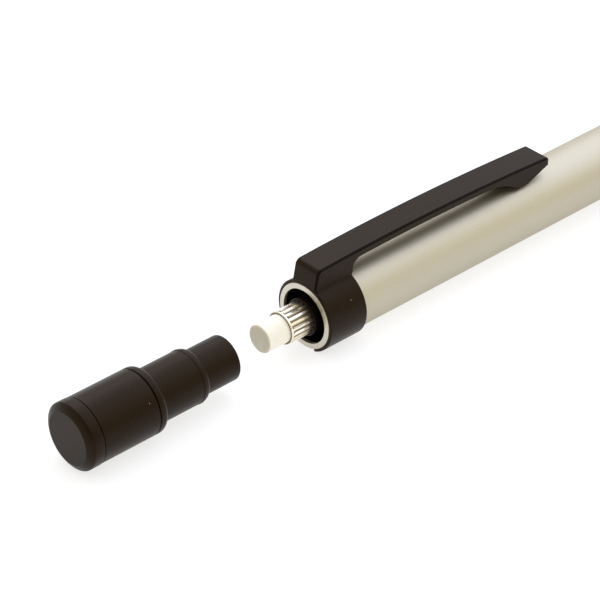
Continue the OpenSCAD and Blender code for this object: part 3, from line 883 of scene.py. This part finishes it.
@dataclass
class Clip:
    """The moulded clip: split ring, raked head, bowed arm and the lug that presses on the barrel."""

    inset: float = 0.2 * MM
    ring_len: float = 6.8 * MM
    ring_wall: float = 0.5 * MM
    ring_edge: float = 0.12 * MM
    slot_w: float = 4.1 * MM
    width: float = 4.8 * MM
    arm_t: float = 1.06 * MM
    crest: float = 19 * MM
    bow_r: float = 430 * MM
    rake: float = 0.6 * MM
    head_r: float = 0.9 * MM
    root_r: float = 1.7 * MM
    flank_r: float = 0.5 * MM
    foot_len: float = 1.9 * MM
    setback: float = 4.5 * MM
    arch_r: float = 9.8 * MM
    nose_depth: float = 1.05 * MM
    nose_r: float = 0.45 * MM
    long_edge: float = 0.36 * MM
    small_edge: float = 0.07 * MM
    edge_steps: int = 3
    corner_steps: int = 8
    long_steps: int = 4
    columns: int = 96
    bore_columns: int = 192
    top_cuts: int = 14
    arch_cuts: int = 8
    under_cuts: int = 7
    slant_from: float = 0.12
    slant_to: float = 0.97
    back_x: float = field(init=False)
    nose_x: float = field(init=False)
    ring_r: float = field(init=False)
    crest_z: float = field(init=False)
    bore_r: float = field(init=False)
    ring_back: float = field(init=False)
    ring_front: float = field(init=False)

    def build(self) -> None:
        """Makes the clip from its ring, its arm and the fillets between them."""
        low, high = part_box("clip")
        self.back_x = low.x
        self.nose_x = high.x
        self.ring_r = high.y
        self.crest_z = high.z
        self.bore_r = self.ring_r - self.ring_wall + PRESS_GAP
        self.ring_back = self.back_x + self.inset
        self.ring_front = self.ring_back + self.ring_len
        mesh = combined(self.ring(), self.flanks(), Joining.ADD)
        mesh = combined(mesh, self.arm(), Joining.ADD)
        mesh = combined(mesh, self.bore(), Joining.CUT)
        closed(mesh)
        # The rounded long edges get the second plastic, which paints a dark line of shade along them.
        for face in mesh.faces:
            face.material_index = int(self.gets_edge_shade(face))
        piece = Piece("clip_moulding", "holder", ("clip",), "black_plastic", BLACK)
        piece.dress(mesh, (SHADE_LINE_PLASTIC,), self.small_edge)

    def line_z(self, x: float, below: float = 0.0) -> float:
        """Returns the height at x of the bowed line that runs below the arm's top."""
        run = x - self.back_x - self.crest
        return self.crest_z - self.bow_r + math.sqrt((self.bow_r - below) ** 2 - run**2)

    def ring(self) -> bmesh.types.BMesh:
        """Makes the split ring: a rounded strip spun from one side of the slot to the other.

        Returns:
            The ring, closed.
        """
        mesh = bmesh.new()
        inner = self.bore_r - PRESS_GAP
        places = [
            (self.ring_back, inner),
            (self.ring_back, self.ring_r),
            (self.ring_front, self.ring_r),
            (self.ring_front, inner),
        ]
        verts = [mesh.verts.new((x, 0, -r)) for x, r in places]
        mesh.faces.new(verts)
        for vert in verts[1:3]:
            round_vertex(mesh, vert, self.ring_edge, self.edge_steps)
        half_slot = math.asin(self.slot_w / 2 / self.ring_r)
        turn = Matrix.Rotation(half_slot, 3, "X")
        bmesh.ops.rotate(mesh, verts=mesh.verts, cent=(0, 0, 0), matrix=turn)
        bmesh.ops.spin(
            mesh,
            geom=mesh.faces[:],
            cent=(0, 0, 0),
            axis=(1, 0, 0),
            angle=math.tau - 2 * half_slot,
            steps=self.columns,
        )
        closed(mesh)
        return mesh

    def flanks(self) -> bmesh.types.BMesh:
        """Makes the two fillets where the head's flat sides run into the ring.

        Returns:
            Both fillets as one closed solid.
        """
        inset = self.ring_edge
        side = self.width / 2 + self.flank_r
        centre_z = math.sqrt((self.ring_r - PRESS_GAP + self.flank_r) ** 2 - side**2)
        turn = math.atan2(centre_z, side)
        mesh = bmesh.new()
        top = mesh.verts.new((self.ring_back + inset, self.width / 2, centre_z))
        arc = bmesh.ops.spin(
            mesh,
            geom=[top],
            cent=(0, side, centre_z),
            axis=(1, 0, 0),
            angle=turn,
            steps=self.corner_steps,
        )
        low = next(item for item in arc["geom_last"] if isinstance(item, bmesh.types.BMVert))
        middle = mesh.verts.new((top.co.x, 0, low.co.z - self.ring_wall / 2))
        crown = mesh.verts.new((top.co.x, 0, centre_z))
        mesh.edges.new((low, middle))
        mesh.edges.new((top, crown))
        bmesh.ops.mirror(mesh, geom=mesh.verts[:] + mesh.edges[:], axis="Y", merge_dist=WELD)
        bmesh.ops.remove_doubles(mesh, verts=mesh.verts, dist=WELD)
        bmesh.ops.contextual_create(mesh, geom=mesh.edges[:])
        widened(mesh, Vector((self.ring_len - 2 * inset, 0, 0)))
        return mesh

    def arm(self) -> bmesh.types.BMesh:
        """Makes head, arm and lug: a side view that is bowed, rounded and given its width.

        Returns:
            The arm, closed.
        """
        foot_z = self.ring_r - self.ring_wall / 2
        foot_front = self.nose_x - self.setback
        foot_back = foot_front - self.foot_len
        drop = self.line_z(foot_back, self.arm_t) - self.bore_r
        arch_back = foot_back - math.sqrt(self.arch_r**2 - (self.arch_r - drop) ** 2)
        top_back = self.back_x + self.rake

        def top(x: float) -> float:
            """Returns the height of the arm's top."""
            return self.line_z(x)

        def under(x: float) -> float:
            """Returns the height of the arm's underside."""
            return self.line_z(x, self.arm_t)

        def arch(x: float) -> float:
            """Returns the height of the arch that runs down to the lug."""
            return under(x) - self.arch_r + math.sqrt(self.arch_r**2 - (x - arch_back) ** 2)

        mesh = bmesh.new()
        places = {
            ArmCorner.RING_FRONT: (self.ring_front, foot_z),
            ArmCorner.RING_BACK: (self.back_x, foot_z),
            ArmCorner.HEAD: (top_back, top(top_back)),
            ArmCorner.NOSE_TOP: (self.nose_x, top(self.nose_x)),
            ArmCorner.NOSE_LOW: (self.nose_x, self.line_z(self.nose_x, self.nose_depth)),
            ArmCorner.FOOT_FRONT: (foot_front, self.bore_r),
            ArmCorner.FOOT_BACK: (foot_back, self.bore_r),
            ArmCorner.ARCH_BACK: (arch_back, under(arch_back)),
            ArmCorner.ROOT: (self.ring_front, under(self.ring_front)),
        }
        points = [Vector((x, -self.width / 2, z)) for x, z in places.values()]
        mesh.faces.new([mesh.verts.new(point) for point in points])
        for first, cuts, shape in (
            (ArmCorner.HEAD, self.top_cuts, top),
            (ArmCorner.FOOT_BACK, self.arch_cuts, arch),
            (ArmCorner.ARCH_BACK, self.under_cuts, under),
        ):
            bow(mesh, points[first], points[first + 1], cuts, shape)
        for corner, radius in (
            (ArmCorner.HEAD, self.head_r),
            (ArmCorner.NOSE_TOP, self.nose_r),
            (ArmCorner.NOSE_LOW, self.nose_r),
            (ArmCorner.ROOT, self.root_r),
        ):
            following = points[(corner + 1) % len(points)]
            reach = tangent_reach(points[corner - 1], points[corner], following, radius)
            round_vertex(mesh, vert_at(mesh, points[corner]), reach, self.corner_steps)
        widened(mesh, Vector((0, self.width, 0)))
        outer = [
            edge
            for edge in mesh.edges
            if abs(edge.verts[0].co.y - edge.verts[1].co.y) < WELD and self.is_outer(edge)
        ]
        bmesh.ops.bevel(
            mesh,
            geom=outer,
            offset=self.long_edge,
            segments=self.long_steps,
            profile=0.5,
            affect="EDGES",
            material=-1,
        )
        closed(mesh)
        return mesh

    def is_outer(self, edge: bmesh.types.BMEdge) -> bool:
        """Tells whether an edge of the side view runs along its rear, its top or its nose.

        Args:
            edge: The edge.

        Returns:
            True for such an edge.
        """
        middle = (edge.verts[0].co + edge.verts[1].co) / 2
        at_rear = middle.x < self.back_x + self.rake and middle.z > self.ring_r
        return at_rear or middle.z > self.line_z(middle.x, self.nose_depth)

    def gets_edge_shade(self, face: bmesh.types.BMFace) -> bool:
        """Tells whether a face lies on the rounded long edges of head and arm, which get a smoother
        plastic that reflects less and so paints a dark line of shade along them.

        Args:
            face: The face.

        Returns:
            True for such a face.
        """
        middle = face.calc_center_median()
        slanted = self.slant_from < abs(face.normal.y) < self.slant_to
        return slanted and middle.z > self.ring_r and abs(middle.y) > self.width / 2 - self.long_edge

    def bore(self) -> bmesh.types.BMesh:
        """Makes the bar that clears the barrel's room in the ring and under the lug."""
        return turned(
            [
                Corner(self.back_x - MM, 0),
                Corner(self.back_x - MM, self.bore_r),
                Corner(self.nose_x, self.bore_r),
                Corner(self.nose_x, 0),
            ],
            Section.ON_AXIS,
            self.bore_columns,
        )


def bow(
    mesh: bmesh.types.BMesh, start: Vector, end: Vector, cuts: int, shape: Callable[[float], float]
) -> None:
    """Cuts a straight side of an outline and lays the new points on a curve.

    Args:
        mesh: The mesh that holds the outline.
        start: The side's one end.
        end: Its other end.
        cuts: How many points are added.
        shape: The curve's height for a place along the pencil.
    """
    split = bmesh.ops.bisect_edges(mesh, edges=[side_between(mesh, start, end)], cuts=cuts)
    for vert in (item for item in split["geom_split"] if isinstance(item, bmesh.types.BMVert)):
        vert.co.z = shape(vert.co.x)


def widened(mesh: bmesh.types.BMesh, way: Vector) -> None:
    """Gives a flat face a thickness in one direction and closes it.

    Args:
        mesh: The mesh that holds the face alone.
        way: The direction, as long as the thickness.
    """
    grown = bmesh.ops.extrude_face_region(mesh, geom=mesh.faces[:])
    moved = [item for item in grown["geom"] if isinstance(item, bmesh.types.BMVert)]
    bmesh.ops.translate(mesh, verts=moved, vec=way)
    bmesh.ops.recalc_face_normals(mesh, faces=mesh.faces)


@dataclass
class FrontEnd:
    """The grip with its knurl, the nose cone, the lead sleeve and the soft ring inside."""

    band_len: float = 5 * MM
    knurl_r: float = 4.6 * MM
    knurl_rise: float = 0.1 * MM
    knurl_rows: int = 66
    knurl_columns: int = 96
    groove_r: float = 4.4 * MM
    groove_w: float = 0.5 * MM
    collar_len: float = 3 * MM
    grip_bore_r: float = 3.45 * MM
    rear_bore_r: float = 3.92 * MM
    rear_bore_len: float = 10.1 * MM
    front_bore_r: float = 3.82 * MM
    front_bore_len: float = 7.6 * MM
    edge: float = 0.12 * MM
    spigot_r: float = 3.8 * MM
    spigot_len: float = 7.5 * MM
    cone_base_r: float = 4.45 * MM
    cone_base_len: float = 1.2 * MM
    cone_front_r: float = 1.15 * MM
    cone_edge: float = 0.36 * MM
    housing_r: float = 3.22 * MM
    housing_front: float = 1.3 * MM
    jaw_room_r: float = 1.95 * MM
    jaw_room_x: float = -9.5 * MM
    retainer_r: float = 1.02 * MM
    retainer_x: float = -7.9 * MM
    sleeve_r: float = 0.5 * MM
    sleeve_base_r: float = 0.7 * MM
    sleeve_bore_r: float = 0.28 * MM
    sleeve_edge: float = 0.12 * MM
    sleeve_columns: int = 48

    def build(self) -> None:
        """Makes grip, cone and sleeve, and finishes the ring that holds the lead."""
        self.grip()
        self.cone()
        self.sleeve()
        dress_node("lead_retainer", RUBBER)

    def grip(self) -> None:
        """Makes the grip in one spin and presses the knurl into its middle."""
        low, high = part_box("grip")
        knurl_back = low.x + self.band_len + self.groove_w
        knurl_front = high.x - self.collar_len - self.groove_w
        mesh = turned(
            [
                Corner(low.x, high.z, self.edge),
                Corner(low.x + self.band_len, high.z, self.edge),
                Corner(low.x + self.band_len, self.groove_r),
                Corner(knurl_back, self.groove_r),
                Corner(knurl_back, self.knurl_r, cuts=self.knurl_rows - 1),
                Corner(knurl_front, self.knurl_r),
                Corner(knurl_front, self.groove_r),
                Corner(high.x - self.collar_len, self.groove_r),
                Corner(high.x - self.collar_len, self.knurl_r, self.edge),
                Corner(high.x, self.knurl_r, self.edge),
                Corner(high.x, self.front_bore_r),
                Corner(high.x - self.front_bore_len, self.front_bore_r),
                Corner(high.x - self.front_bore_len, self.grip_bore_r),
                Corner(low.x + self.rear_bore_len, self.grip_bore_r),
                Corner(low.x + self.rear_bore_len, self.rear_bore_r),
                Corner(low.x, self.rear_bore_r),
            ],
            columns=self.knurl_columns,
        )
        self.press_knurl(mesh, knurl_back, knurl_front)
        Piece("knurled_grip", "holder", ("grip",), "grip_metal", GRIP_METAL).dress(mesh)

    def press_knurl(self, mesh: bmesh.types.BMesh, back: float, front: float) -> None:
        """Raises every second point of the knurled length and sinks the others, which leaves diamonds.

        Args:
            mesh: The spun grip.
            back: Where the knurl starts.
            front: Where it ends.
        """
        pitch = (front - back) / self.knurl_rows
        valleys = []
        for vert in mesh.verts:
            reach = math.hypot(vert.co.y, vert.co.z)
            if abs(reach - self.knurl_r) > WELD or not back - WELD < vert.co.x < front + WELD:
                continue
            row = round((vert.co.x - back) / pitch)
            column = round(math.atan2(vert.co.y, vert.co.z) / math.tau * self.knurl_columns)
            raised = (row + column) % 2 == 1 and 0 < row < self.knurl_rows
            if not raised:
                valleys.append(vert)
            factor = 1 + (self.knurl_rise if raised else -self.knurl_rise) / reach
            vert.co.yz = vert.co.yz * factor
        bmesh.ops.connect_verts(mesh, verts=valleys)

    def cone(self) -> None:
        """Makes the nose cone with its spigot and its stepped bore."""
        low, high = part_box("nose_cone")
        base_x = low.x + self.spigot_len
        housing_x = base_x + self.housing_front
        mesh = turned(
            [
                Corner(low.x, self.spigot_r, self.edge),
                Corner(base_x, self.spigot_r),
                Corner(base_x, self.cone_base_r, self.edge),
                Corner(base_x + self.cone_base_len, self.cone_base_r, self.cone_edge),
                Corner(high.x, self.cone_front_r, self.edge),
                Corner(high.x, self.sleeve_base_r + PRESS_GAP / 2),
                Corner(self.retainer_x, self.sleeve_base_r + PRESS_GAP / 2),
                Corner(self.retainer_x, self.retainer_r),
                Corner(self.jaw_room_x, self.retainer_r),
                Corner(self.jaw_room_x, self.jaw_room_r),
                Corner(housing_x, self.jaw_room_r),
                Corner(housing_x, self.housing_r),
                Corner(low.x, self.housing_r),
            ]
        )
        Piece("turned_nose_cone", "holder", ("nose_cone",), "cone_metal", CONE_METAL).dress(mesh)

    def sleeve(self) -> None:
        """Makes the lead sleeve, flush with the cone where it leaves it."""
        low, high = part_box("lead_sleeve")
        cone_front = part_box("nose_cone")[1].x
        mesh = turned(
            [
                Corner(low.x, self.sleeve_base_r),
                Corner(cone_front, self.sleeve_base_r, self.sleeve_edge / 2),
                Corner(cone_front, self.sleeve_r),
                Corner(high.x, self.sleeve_r, self.sleeve_edge),
                Corner(high.x, self.sleeve_bore_r, self.sleeve_edge / 2),
                Corner(low.x, self.sleeve_bore_r),
            ],
            columns=self.sleeve_columns,
        )
        Piece("lead_pipe", "holder", ("lead_sleeve",), "steel", STEEL).dress(mesh)


@dataclass
class PushMechanism:
    """What the push button moves: reservoir, coupler, chuck and ring, with the spring and the leads."""

    reservoir_r: float = 2.85 * MM
    reservoir_bore_r: float = 2.35 * MM
    rim_edge: float = 0.14 * MM
    wire_d: float = 0.4 * MM
    spring_r: float = 1.9 * MM
    active_curls: int = 6
    closed_pitch: float = 0.412 * MM
    curl_steps: int = 24
    wire_sides: int = 12
    spring_stroke: float = 4.5 * MM
    lead_r: float = 0.25 * MM
    lead_wear: float = 0.11 * MM
    lead_columns: int = 32

    def build(self) -> None:
        """Makes reservoir, spring and lead, and finishes the pieces inside."""
        self.reservoir()
        self.spring()
        self.lead()
        for node in ("chuck_housing", "chuck", "chuck_ring"):
            dress_node(node, BRASS)
        dress_node("reservoir_coupler", BLACK_INNER)
        dress_node("spare_leads", GRAPHITE)

    def reservoir(self) -> None:
        """Makes the tube that shows in the barrel's mouth."""
        low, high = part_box("reservoir")
        mesh = turned(
            [
                Corner(low.x, self.reservoir_r, self.rim_edge),
                Corner(high.x, self.reservoir_r),
                Corner(high.x, self.reservoir_bore_r),
                Corner(low.x, self.reservoir_bore_r, self.rim_edge),
            ]
        )
        Piece("reservoir_tube", "push_mechanism", ("reservoir",), "black_plastic", BLACK_TUBE).dress(mesh)

    def spring(self) -> None:
        """Makes the return spring: one wire with a closed curl at each end."""
        low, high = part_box("return_spring")
        start_x = low.x + self.wire_d / 2
        run = high.x - low.x - self.wire_d
        mesh = bmesh.new()
        bmesh.ops.create_circle(mesh, cap_ends=True, segments=self.wire_sides, radius=self.wire_d / 2)
        upright = Matrix.Rotation(math.radians(90), 4, "X")
        section = Matrix.Translation((start_x, 0, self.spring_r)) @ upright
        bmesh.ops.transform(mesh, matrix=section, verts=mesh.verts)
        steps = self.curl_steps
        last: list[Any] = mesh.faces[:]
        for curls, rise in (
            (1, self.closed_pitch),
            (self.active_curls, (run - 2 * self.closed_pitch) / self.active_curls),
            (1, self.closed_pitch),
        ):
            wound = bmesh.ops.spin(
                mesh,
                geom=last,
                cent=(0, 0, 0),
                axis=(1, 0, 0),
                dvec=(rise / steps, 0, 0),
                angle=math.tau * curls,
                steps=steps * curls,
            )
            last = wound["geom_last"]
        bmesh.ops.recalc_face_normals(mesh, faces=mesh.faces)
        made = Piece("return_coil", "holder", ("return_spring",), "steel", STEEL).dress(mesh)
        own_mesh(made)

    def lead(self) -> None:
        """Makes the lead in use, with a worn point."""
        low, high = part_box("lead")
        edge = self.lead_wear / 3
        mesh = turned(
            [
                Corner(low.x, 0),
                Corner(low.x, self.lead_r),
                Corner(high.x - self.lead_wear, self.lead_r, edge),
                Corner(high.x, self.lead_r - self.lead_wear, edge),
                Corner(high.x, 0),
            ],
            Section.ON_AXIS,
            self.lead_columns,
        )
        Piece("writing_lead", "lead_in_use", ("lead",), "graphite", GRAPHITE).dress(mesh)


@dataclass
class EraserUnit:
    """The fluted ferrule and the white eraser in it."""

    rim_len: float = 0.4 * MM
    rim_edge: float = 0.16 * MM
    flute_len: float = 3.55 * MM
    flute_count: int = 20
    flute_columns: int = 16
    flute_r: float = 0.26 * MM
    flute_depth: float = 0.15 * MM
    unshaded_share: float = 0.4
    flute_end: float = 0.5
    eraser_r: float = 2.16 * MM
    eraser_held: float = 5.4 * MM
    eraser_wear: float = 0.32 * MM
    eraser_columns: int = 72
    plug_r: float = 2.3 * MM
    plug_bore_r: float = 2.0 * MM
    plug_wall: float = 0.3 * MM
    dent: float = 0.05 * MM
    dents_per_metre: float = 900

    def build(self) -> None:
        """Makes the ferrule and the eraser."""
        self.ferrule()
        self.eraser()

    def ferrule(self) -> None:
        """Makes the ferrule in one spin and presses the flutes into it."""
        low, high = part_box("ferrule")
        flutes_x = low.x + self.rim_len
        seat_x = flutes_x + self.flute_len
        bottom_x = high.x - self.plug_wall
        mesh = turned(
            [
                Corner(bottom_x, 0),
                Corner(bottom_x, self.plug_bore_r),
                Corner(low.x + self.eraser_held, self.plug_bore_r),
                Corner(low.x + self.eraser_held, self.eraser_r + PRESS_GAP / 2),
                Corner(low.x, self.eraser_r + PRESS_GAP / 2, self.rim_edge / 2),
                Corner(low.x, high.z, self.rim_edge),
                Corner(flutes_x - self.flute_r, high.z, cuts=1),
                Corner(flutes_x, high.z, cuts=7),
                Corner(flutes_x + self.flute_r, high.z, cuts=5),
                Corner(seat_x, high.z),
                Corner(seat_x, self.plug_r),
                Corner(high.x, self.plug_r, self.rim_edge),
                Corner(high.x, 0),
            ],
            Section.ON_AXIS,
            self.flute_count * self.flute_columns,
        )
        self.press_flutes(mesh, high.z, flutes_x + self.flute_r)
        # The plate paints brown shade in the flutes, from their bottoms up to a share of their depth.
        plate = BrightPlate(
            "bright_nickel_plate",
            rgba(0.88, 0.83, 0.71),
            0.17,
            1.0,
            shade_none_r=high.z - self.flute_depth * self.unshaded_share,
            shade_full_r=high.z - self.flute_depth,
            flutes_end=seat_x,
        )
        Piece("fluted_ferrule", "eraser_unit", ("ferrule",), "bright_nickel", plate).dress(mesh)

    def press_flutes(self, mesh: bmesh.types.BMesh, outer_r: float, from_x: float) -> None:
        """Sinks round grooves into the band, each with a rounded end near the rim.

        Args:
            mesh: The spun ferrule.
            outer_r: Radius of the band before it is pressed.
            from_x: Where the grooves' round ends have their centre.
        """
        centre_r = outer_r + self.flute_r - self.flute_depth
        pitch = math.tau / self.flute_count
        for vert in mesh.verts:
            reach = math.hypot(vert.co.y, vert.co.z)
            if reach < outer_r - WELD or vert.co.x < from_x - self.flute_r - WELD:
                continue
            angle = math.atan2(vert.co.y, vert.co.z)
            off = (angle / pitch % 1 - 0.5) * pitch * outer_r
            past = max(0.0, from_x - vert.co.x) * self.flute_end
            inside = self.flute_r**2 - off**2 - past**2
            if inside > 0:
                sunk = min(outer_r, centre_r - math.sqrt(inside))
                vert.co.yz = vert.co.yz * (sunk / reach)

    def eraser(self) -> None:
        """Makes the eraser, whose end is worn a little uneven."""
        low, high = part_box("eraser")
        mesh = turned(
            [
                Corner(low.x, 0, cuts=7),
                Corner(low.x, self.eraser_r, self.eraser_wear),
                Corner(high.x, self.eraser_r),
                Corner(high.x, 0),
            ],
            Section.ON_AXIS,
            self.eraser_columns,
        )
        worn_len = self.eraser_wear * 2
        for vert in mesh.verts:
            depth = vert.co.x - low.x
            if depth < worn_len:
                unevenness = (1 + noise.noise(vert.co * self.dents_per_metre)) / 2
                vert.co.x += self.dent * (1 - depth / worn_len) * unevenness
        piece = Piece("eraser_stick", "eraser_unit", ("eraser",), "eraser_vinyl", self.vinyl(low.x))
        piece.dress(mesh)

    @staticmethod
    def vinyl(end_x: float) -> EraserVinyl:
        """Returns the eraser's finish, which knows where its worn end lies."""
        glow = {
            "Subsurface Weight": 0.35,
            "Subsurface Radius": (0.9, 0.75, 0.6),
            "Subsurface Scale": 0.6 * MM,
        }
        return EraserVinyl("worn_white_vinyl", rgba(0.93, 0.9, 0.82), 0.55, constants=glow, end_x=end_x)


@dataclass
class Cap:
    """The cap: stem with flange, neck and sleeve, the plain shell and the end plug for the thumb."""

    tube_r: float = 3.97 * MM
    shell_r: float = 4.94 * MM
    neck_r: float = 4.01 * MM
    sleeve_r: float = 3.39 * MM
    bore_r: float = 2.93 * MM
    room_r: float = 2.72 * MM
    flange_len: float = 1.5 * MM
    flange_round: float = 0.9 * MM
    neck_len: float = 8.1 * MM
    shoulder: float = 0.85 * MM
    bead_w: float = 0.45 * MM
    bead_h: float = 0.06 * MM
    sleeve_len: float = 5.8 * MM
    sleeve_edge: float = 0.23 * MM
    bore_len: float = 7.9 * MM
    edge: float = 0.1 * MM
    end_r: float = 5.0 * MM
    flat_r: float = 3.9 * MM
    round_len: float = 0.8 * MM
    lean: float = 0.46 * MM
    end_t: float = 1.2 * MM

    def build(self) -> None:
        """Makes the cap's three mouldings."""
        self.stem()
        self.shell()
        self.end_plug()

    def stem(self) -> None:
        """Makes the flange, the neck with its bead, and the slim sleeve."""
        low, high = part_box("cap_stem")
        neck_front = high.x - self.sleeve_len
        flange_front = neck_front - self.neck_len
        flange_back = flange_front - self.flange_len
        shoulder_x = neck_front - self.shoulder
        bead_x = shoulder_x - self.bead_w
        bead_r = self.neck_r + self.bead_h
        mesh = turned(
            [
                Corner(low.x, self.tube_r, self.edge),
                Corner(flange_back, self.tube_r),
                Corner(flange_back, self.shell_r, self.edge),
                Corner(flange_front - self.flange_round, self.shell_r),
                Corner(flange_front, self.shell_r, whole=True),
                Corner(flange_front, self.neck_r),
                Corner(bead_x, self.neck_r),
                Corner(bead_x + self.bead_h / 2, bead_r, self.bead_h),
                Corner(shoulder_x - self.bead_h / 2, bead_r, self.bead_h),
                Corner(shoulder_x, self.neck_r),
                Corner(neck_front, self.neck_r, whole=True),
                Corner(neck_front, self.sleeve_r),
                Corner(high.x, self.sleeve_r, self.sleeve_edge),
                Corner(high.x, self.bore_r, self.edge),
                Corner(high.x - self.bore_len, self.bore_r),
                Corner(high.x - self.bore_len, self.room_r),
                Corner(low.x, self.room_r),
            ]
        )
        Piece("cap_neck_and_sleeve", "cap", ("cap_stem",), "black_plastic", BLACK).dress(mesh)

    def shell(self) -> None:
        """Makes the plain shell between flange and end plug."""
        low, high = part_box("cap_shell")
        mesh = turned(
            [
                Corner(low.x, self.shell_r, self.edge),
                Corner(high.x, self.shell_r, self.edge),
                Corner(high.x, self.tube_r + PRESS_GAP),
                Corner(low.x, self.tube_r + PRESS_GAP),
            ]
        )
        Piece("cap_outer_shell", "cap", ("cap_shell",), "black_plastic", BLACK).dress(mesh)

    def end_plug(self) -> None:
        """Makes the flat end with its crisp edge, its rounding and its band."""
        low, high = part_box("cap_end_plug")
        mesh = turned(
            [
                Corner(low.x, 0),
                Corner(low.x, self.flat_r),
                Corner(low.x + self.lean, self.end_r, whole=True),
                Corner(low.x + self.round_len, self.end_r),
                Corner(high.x, self.end_r, self.edge),
                Corner(high.x, self.tube_r + PRESS_GAP),
                Corner(low.x + self.end_t, self.tube_r + PRESS_GAP),
                Corner(low.x + self.end_t, 0),
            ],
            Section.ON_AXIS,
        )
        Piece("cap_thumb_end", "cap", ("cap_end_plug",), "black_plastic", BLACK).dress(mesh)


@dataclass
class Studio:
    """White card, soft light from above, and the camera at the photograph's angle."""

    lens: float = 173.3
    sensor: float = 36.0
    stand: Vector = field(default_factory=lambda: Vector((-0.2239, -0.2442, 0.2291)))
    right: Vector = field(default_factory=lambda: Vector((0.73813, -0.67465, 0.0)))
    up: Vector = field(default_factory=lambda: Vector((0.38058, 0.41639, 0.82569)))
    floor_half: float = 1.5
    above: Vector = field(default_factory=lambda: Vector((0.5, -0.05, 0.86)).normalized())
    behind: Vector = field(default_factory=lambda: Vector((0.2, 0.8, 0.57)).normalized())
    bright_sky: float = 1.72
    dim_sky: float = 0.95
    camera_shade: float = 0.5
    above_edge: float = 0.5
    behind_edge: float = -0.1
    behind_full: float = 0.75
    camera_edge: float = 0.6
    above_share: float = 0.8
    behind_share: float = 0.5
    cool: Colour = (1.0, 1.06, 1.22, 1.0)
    warm: Colour = (1.0, 0.9, 0.64, 1.0)
    panel_stand: Vector = field(default_factory=lambda: Vector((0.15, 0.45, 0.6)))
    panel_size: float = 0.5
    panel_power: float = 1.0
    mouth: Vector = field(init=False)

    def build(self) -> None:
        """Lays the card, lights it and places the camera."""
        self.mouth = Vector((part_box("barrel")[0].x, 0, 0))
        self.card()
        self.sky()
        self.panel()
        self.camera()

    def card(self) -> None:
        """Lays the white card under the pencil."""
        mesh = bmesh.new()
        bmesh.ops.create_grid(mesh, x_segments=1, y_segments=1, size=self.floor_half)
        bmesh.ops.translate(mesh, verts=mesh.verts, vec=(self.mouth.x, 0, cad_box[0][2] - WELD))
        data = stored(mesh, "white_card")
        data.materials.append(CARD.material())
        made = placed("white_card", data)

    def sky(self) -> None:
        """Lights the room softly: bright and white from above and behind, dimmer and warmer elsewhere."""
        world = bpy.data.worlds.new("studio")
        bpy.context.scene.world = world
        world.use_nodes = True
        graph = Graph(world.node_tree)
        above = graph.facing(self.above).step(self.above_edge, 1.0)
        behind = graph.facing(self.behind).step(self.behind_edge, self.behind_full)
        camera = graph.facing(self.stand.normalized()).step(self.camera_edge, 1.0)
        level = self.dim_sky + (self.bright_sky - self.dim_sky) * above - self.camera_shade * camera
        coolness = above * self.above_share + behind * self.behind_share
        tone = graph.mix(self.warm, self.cool, coolness)
        back = graph.node("ShaderNodeBackground", inputs={"Color": tone, "Strength": level})
        graph.node("ShaderNodeOutputWorld", inputs={"Surface": back})

    def panel(self) -> None:
        """Hangs one square light behind the pencil, which faces the barrel's mouth."""
        light = bpy.data.lights.new("back_panel", "AREA")
        light.size = self.panel_size
        light.energy = self.panel_power
        made = placed("back_panel", light)
        made.location = self.mouth + self.panel_stand
        made.rotation_euler = (-self.panel_stand).to_track_quat("-Z", "Y").to_euler()

    def camera(self) -> None:
        """Places the camera and sets how its picture is shown."""
        lens = bpy.data.cameras.new("photograph")
        lens.lens = self.lens
        lens.sensor_width = self.sensor
        made = placed("photograph", lens)
        backward = self.right.cross(self.up)
        turn = Matrix((self.right, self.up, backward)).transposed()
        made.matrix_world = Matrix.Translation(self.mouth + self.stand) @ turn.to_4x4()
        scene = bpy.context.scene
        scene.camera = made
        scene.view_settings.view_transform = "Standard"


def main() -> None:
    """Builds the pencil from the barrel outwards, then the studio."""
    logging.basicConfig(level=logging.INFO, format="%(name)s: %(message)s")
    for assembly in (Barrel(), Clip(), FrontEnd(), PushMechanism(), EraserUnit(), Cap(), Studio()):
        assembly.build()


if __name__ == "__main__":
    main()
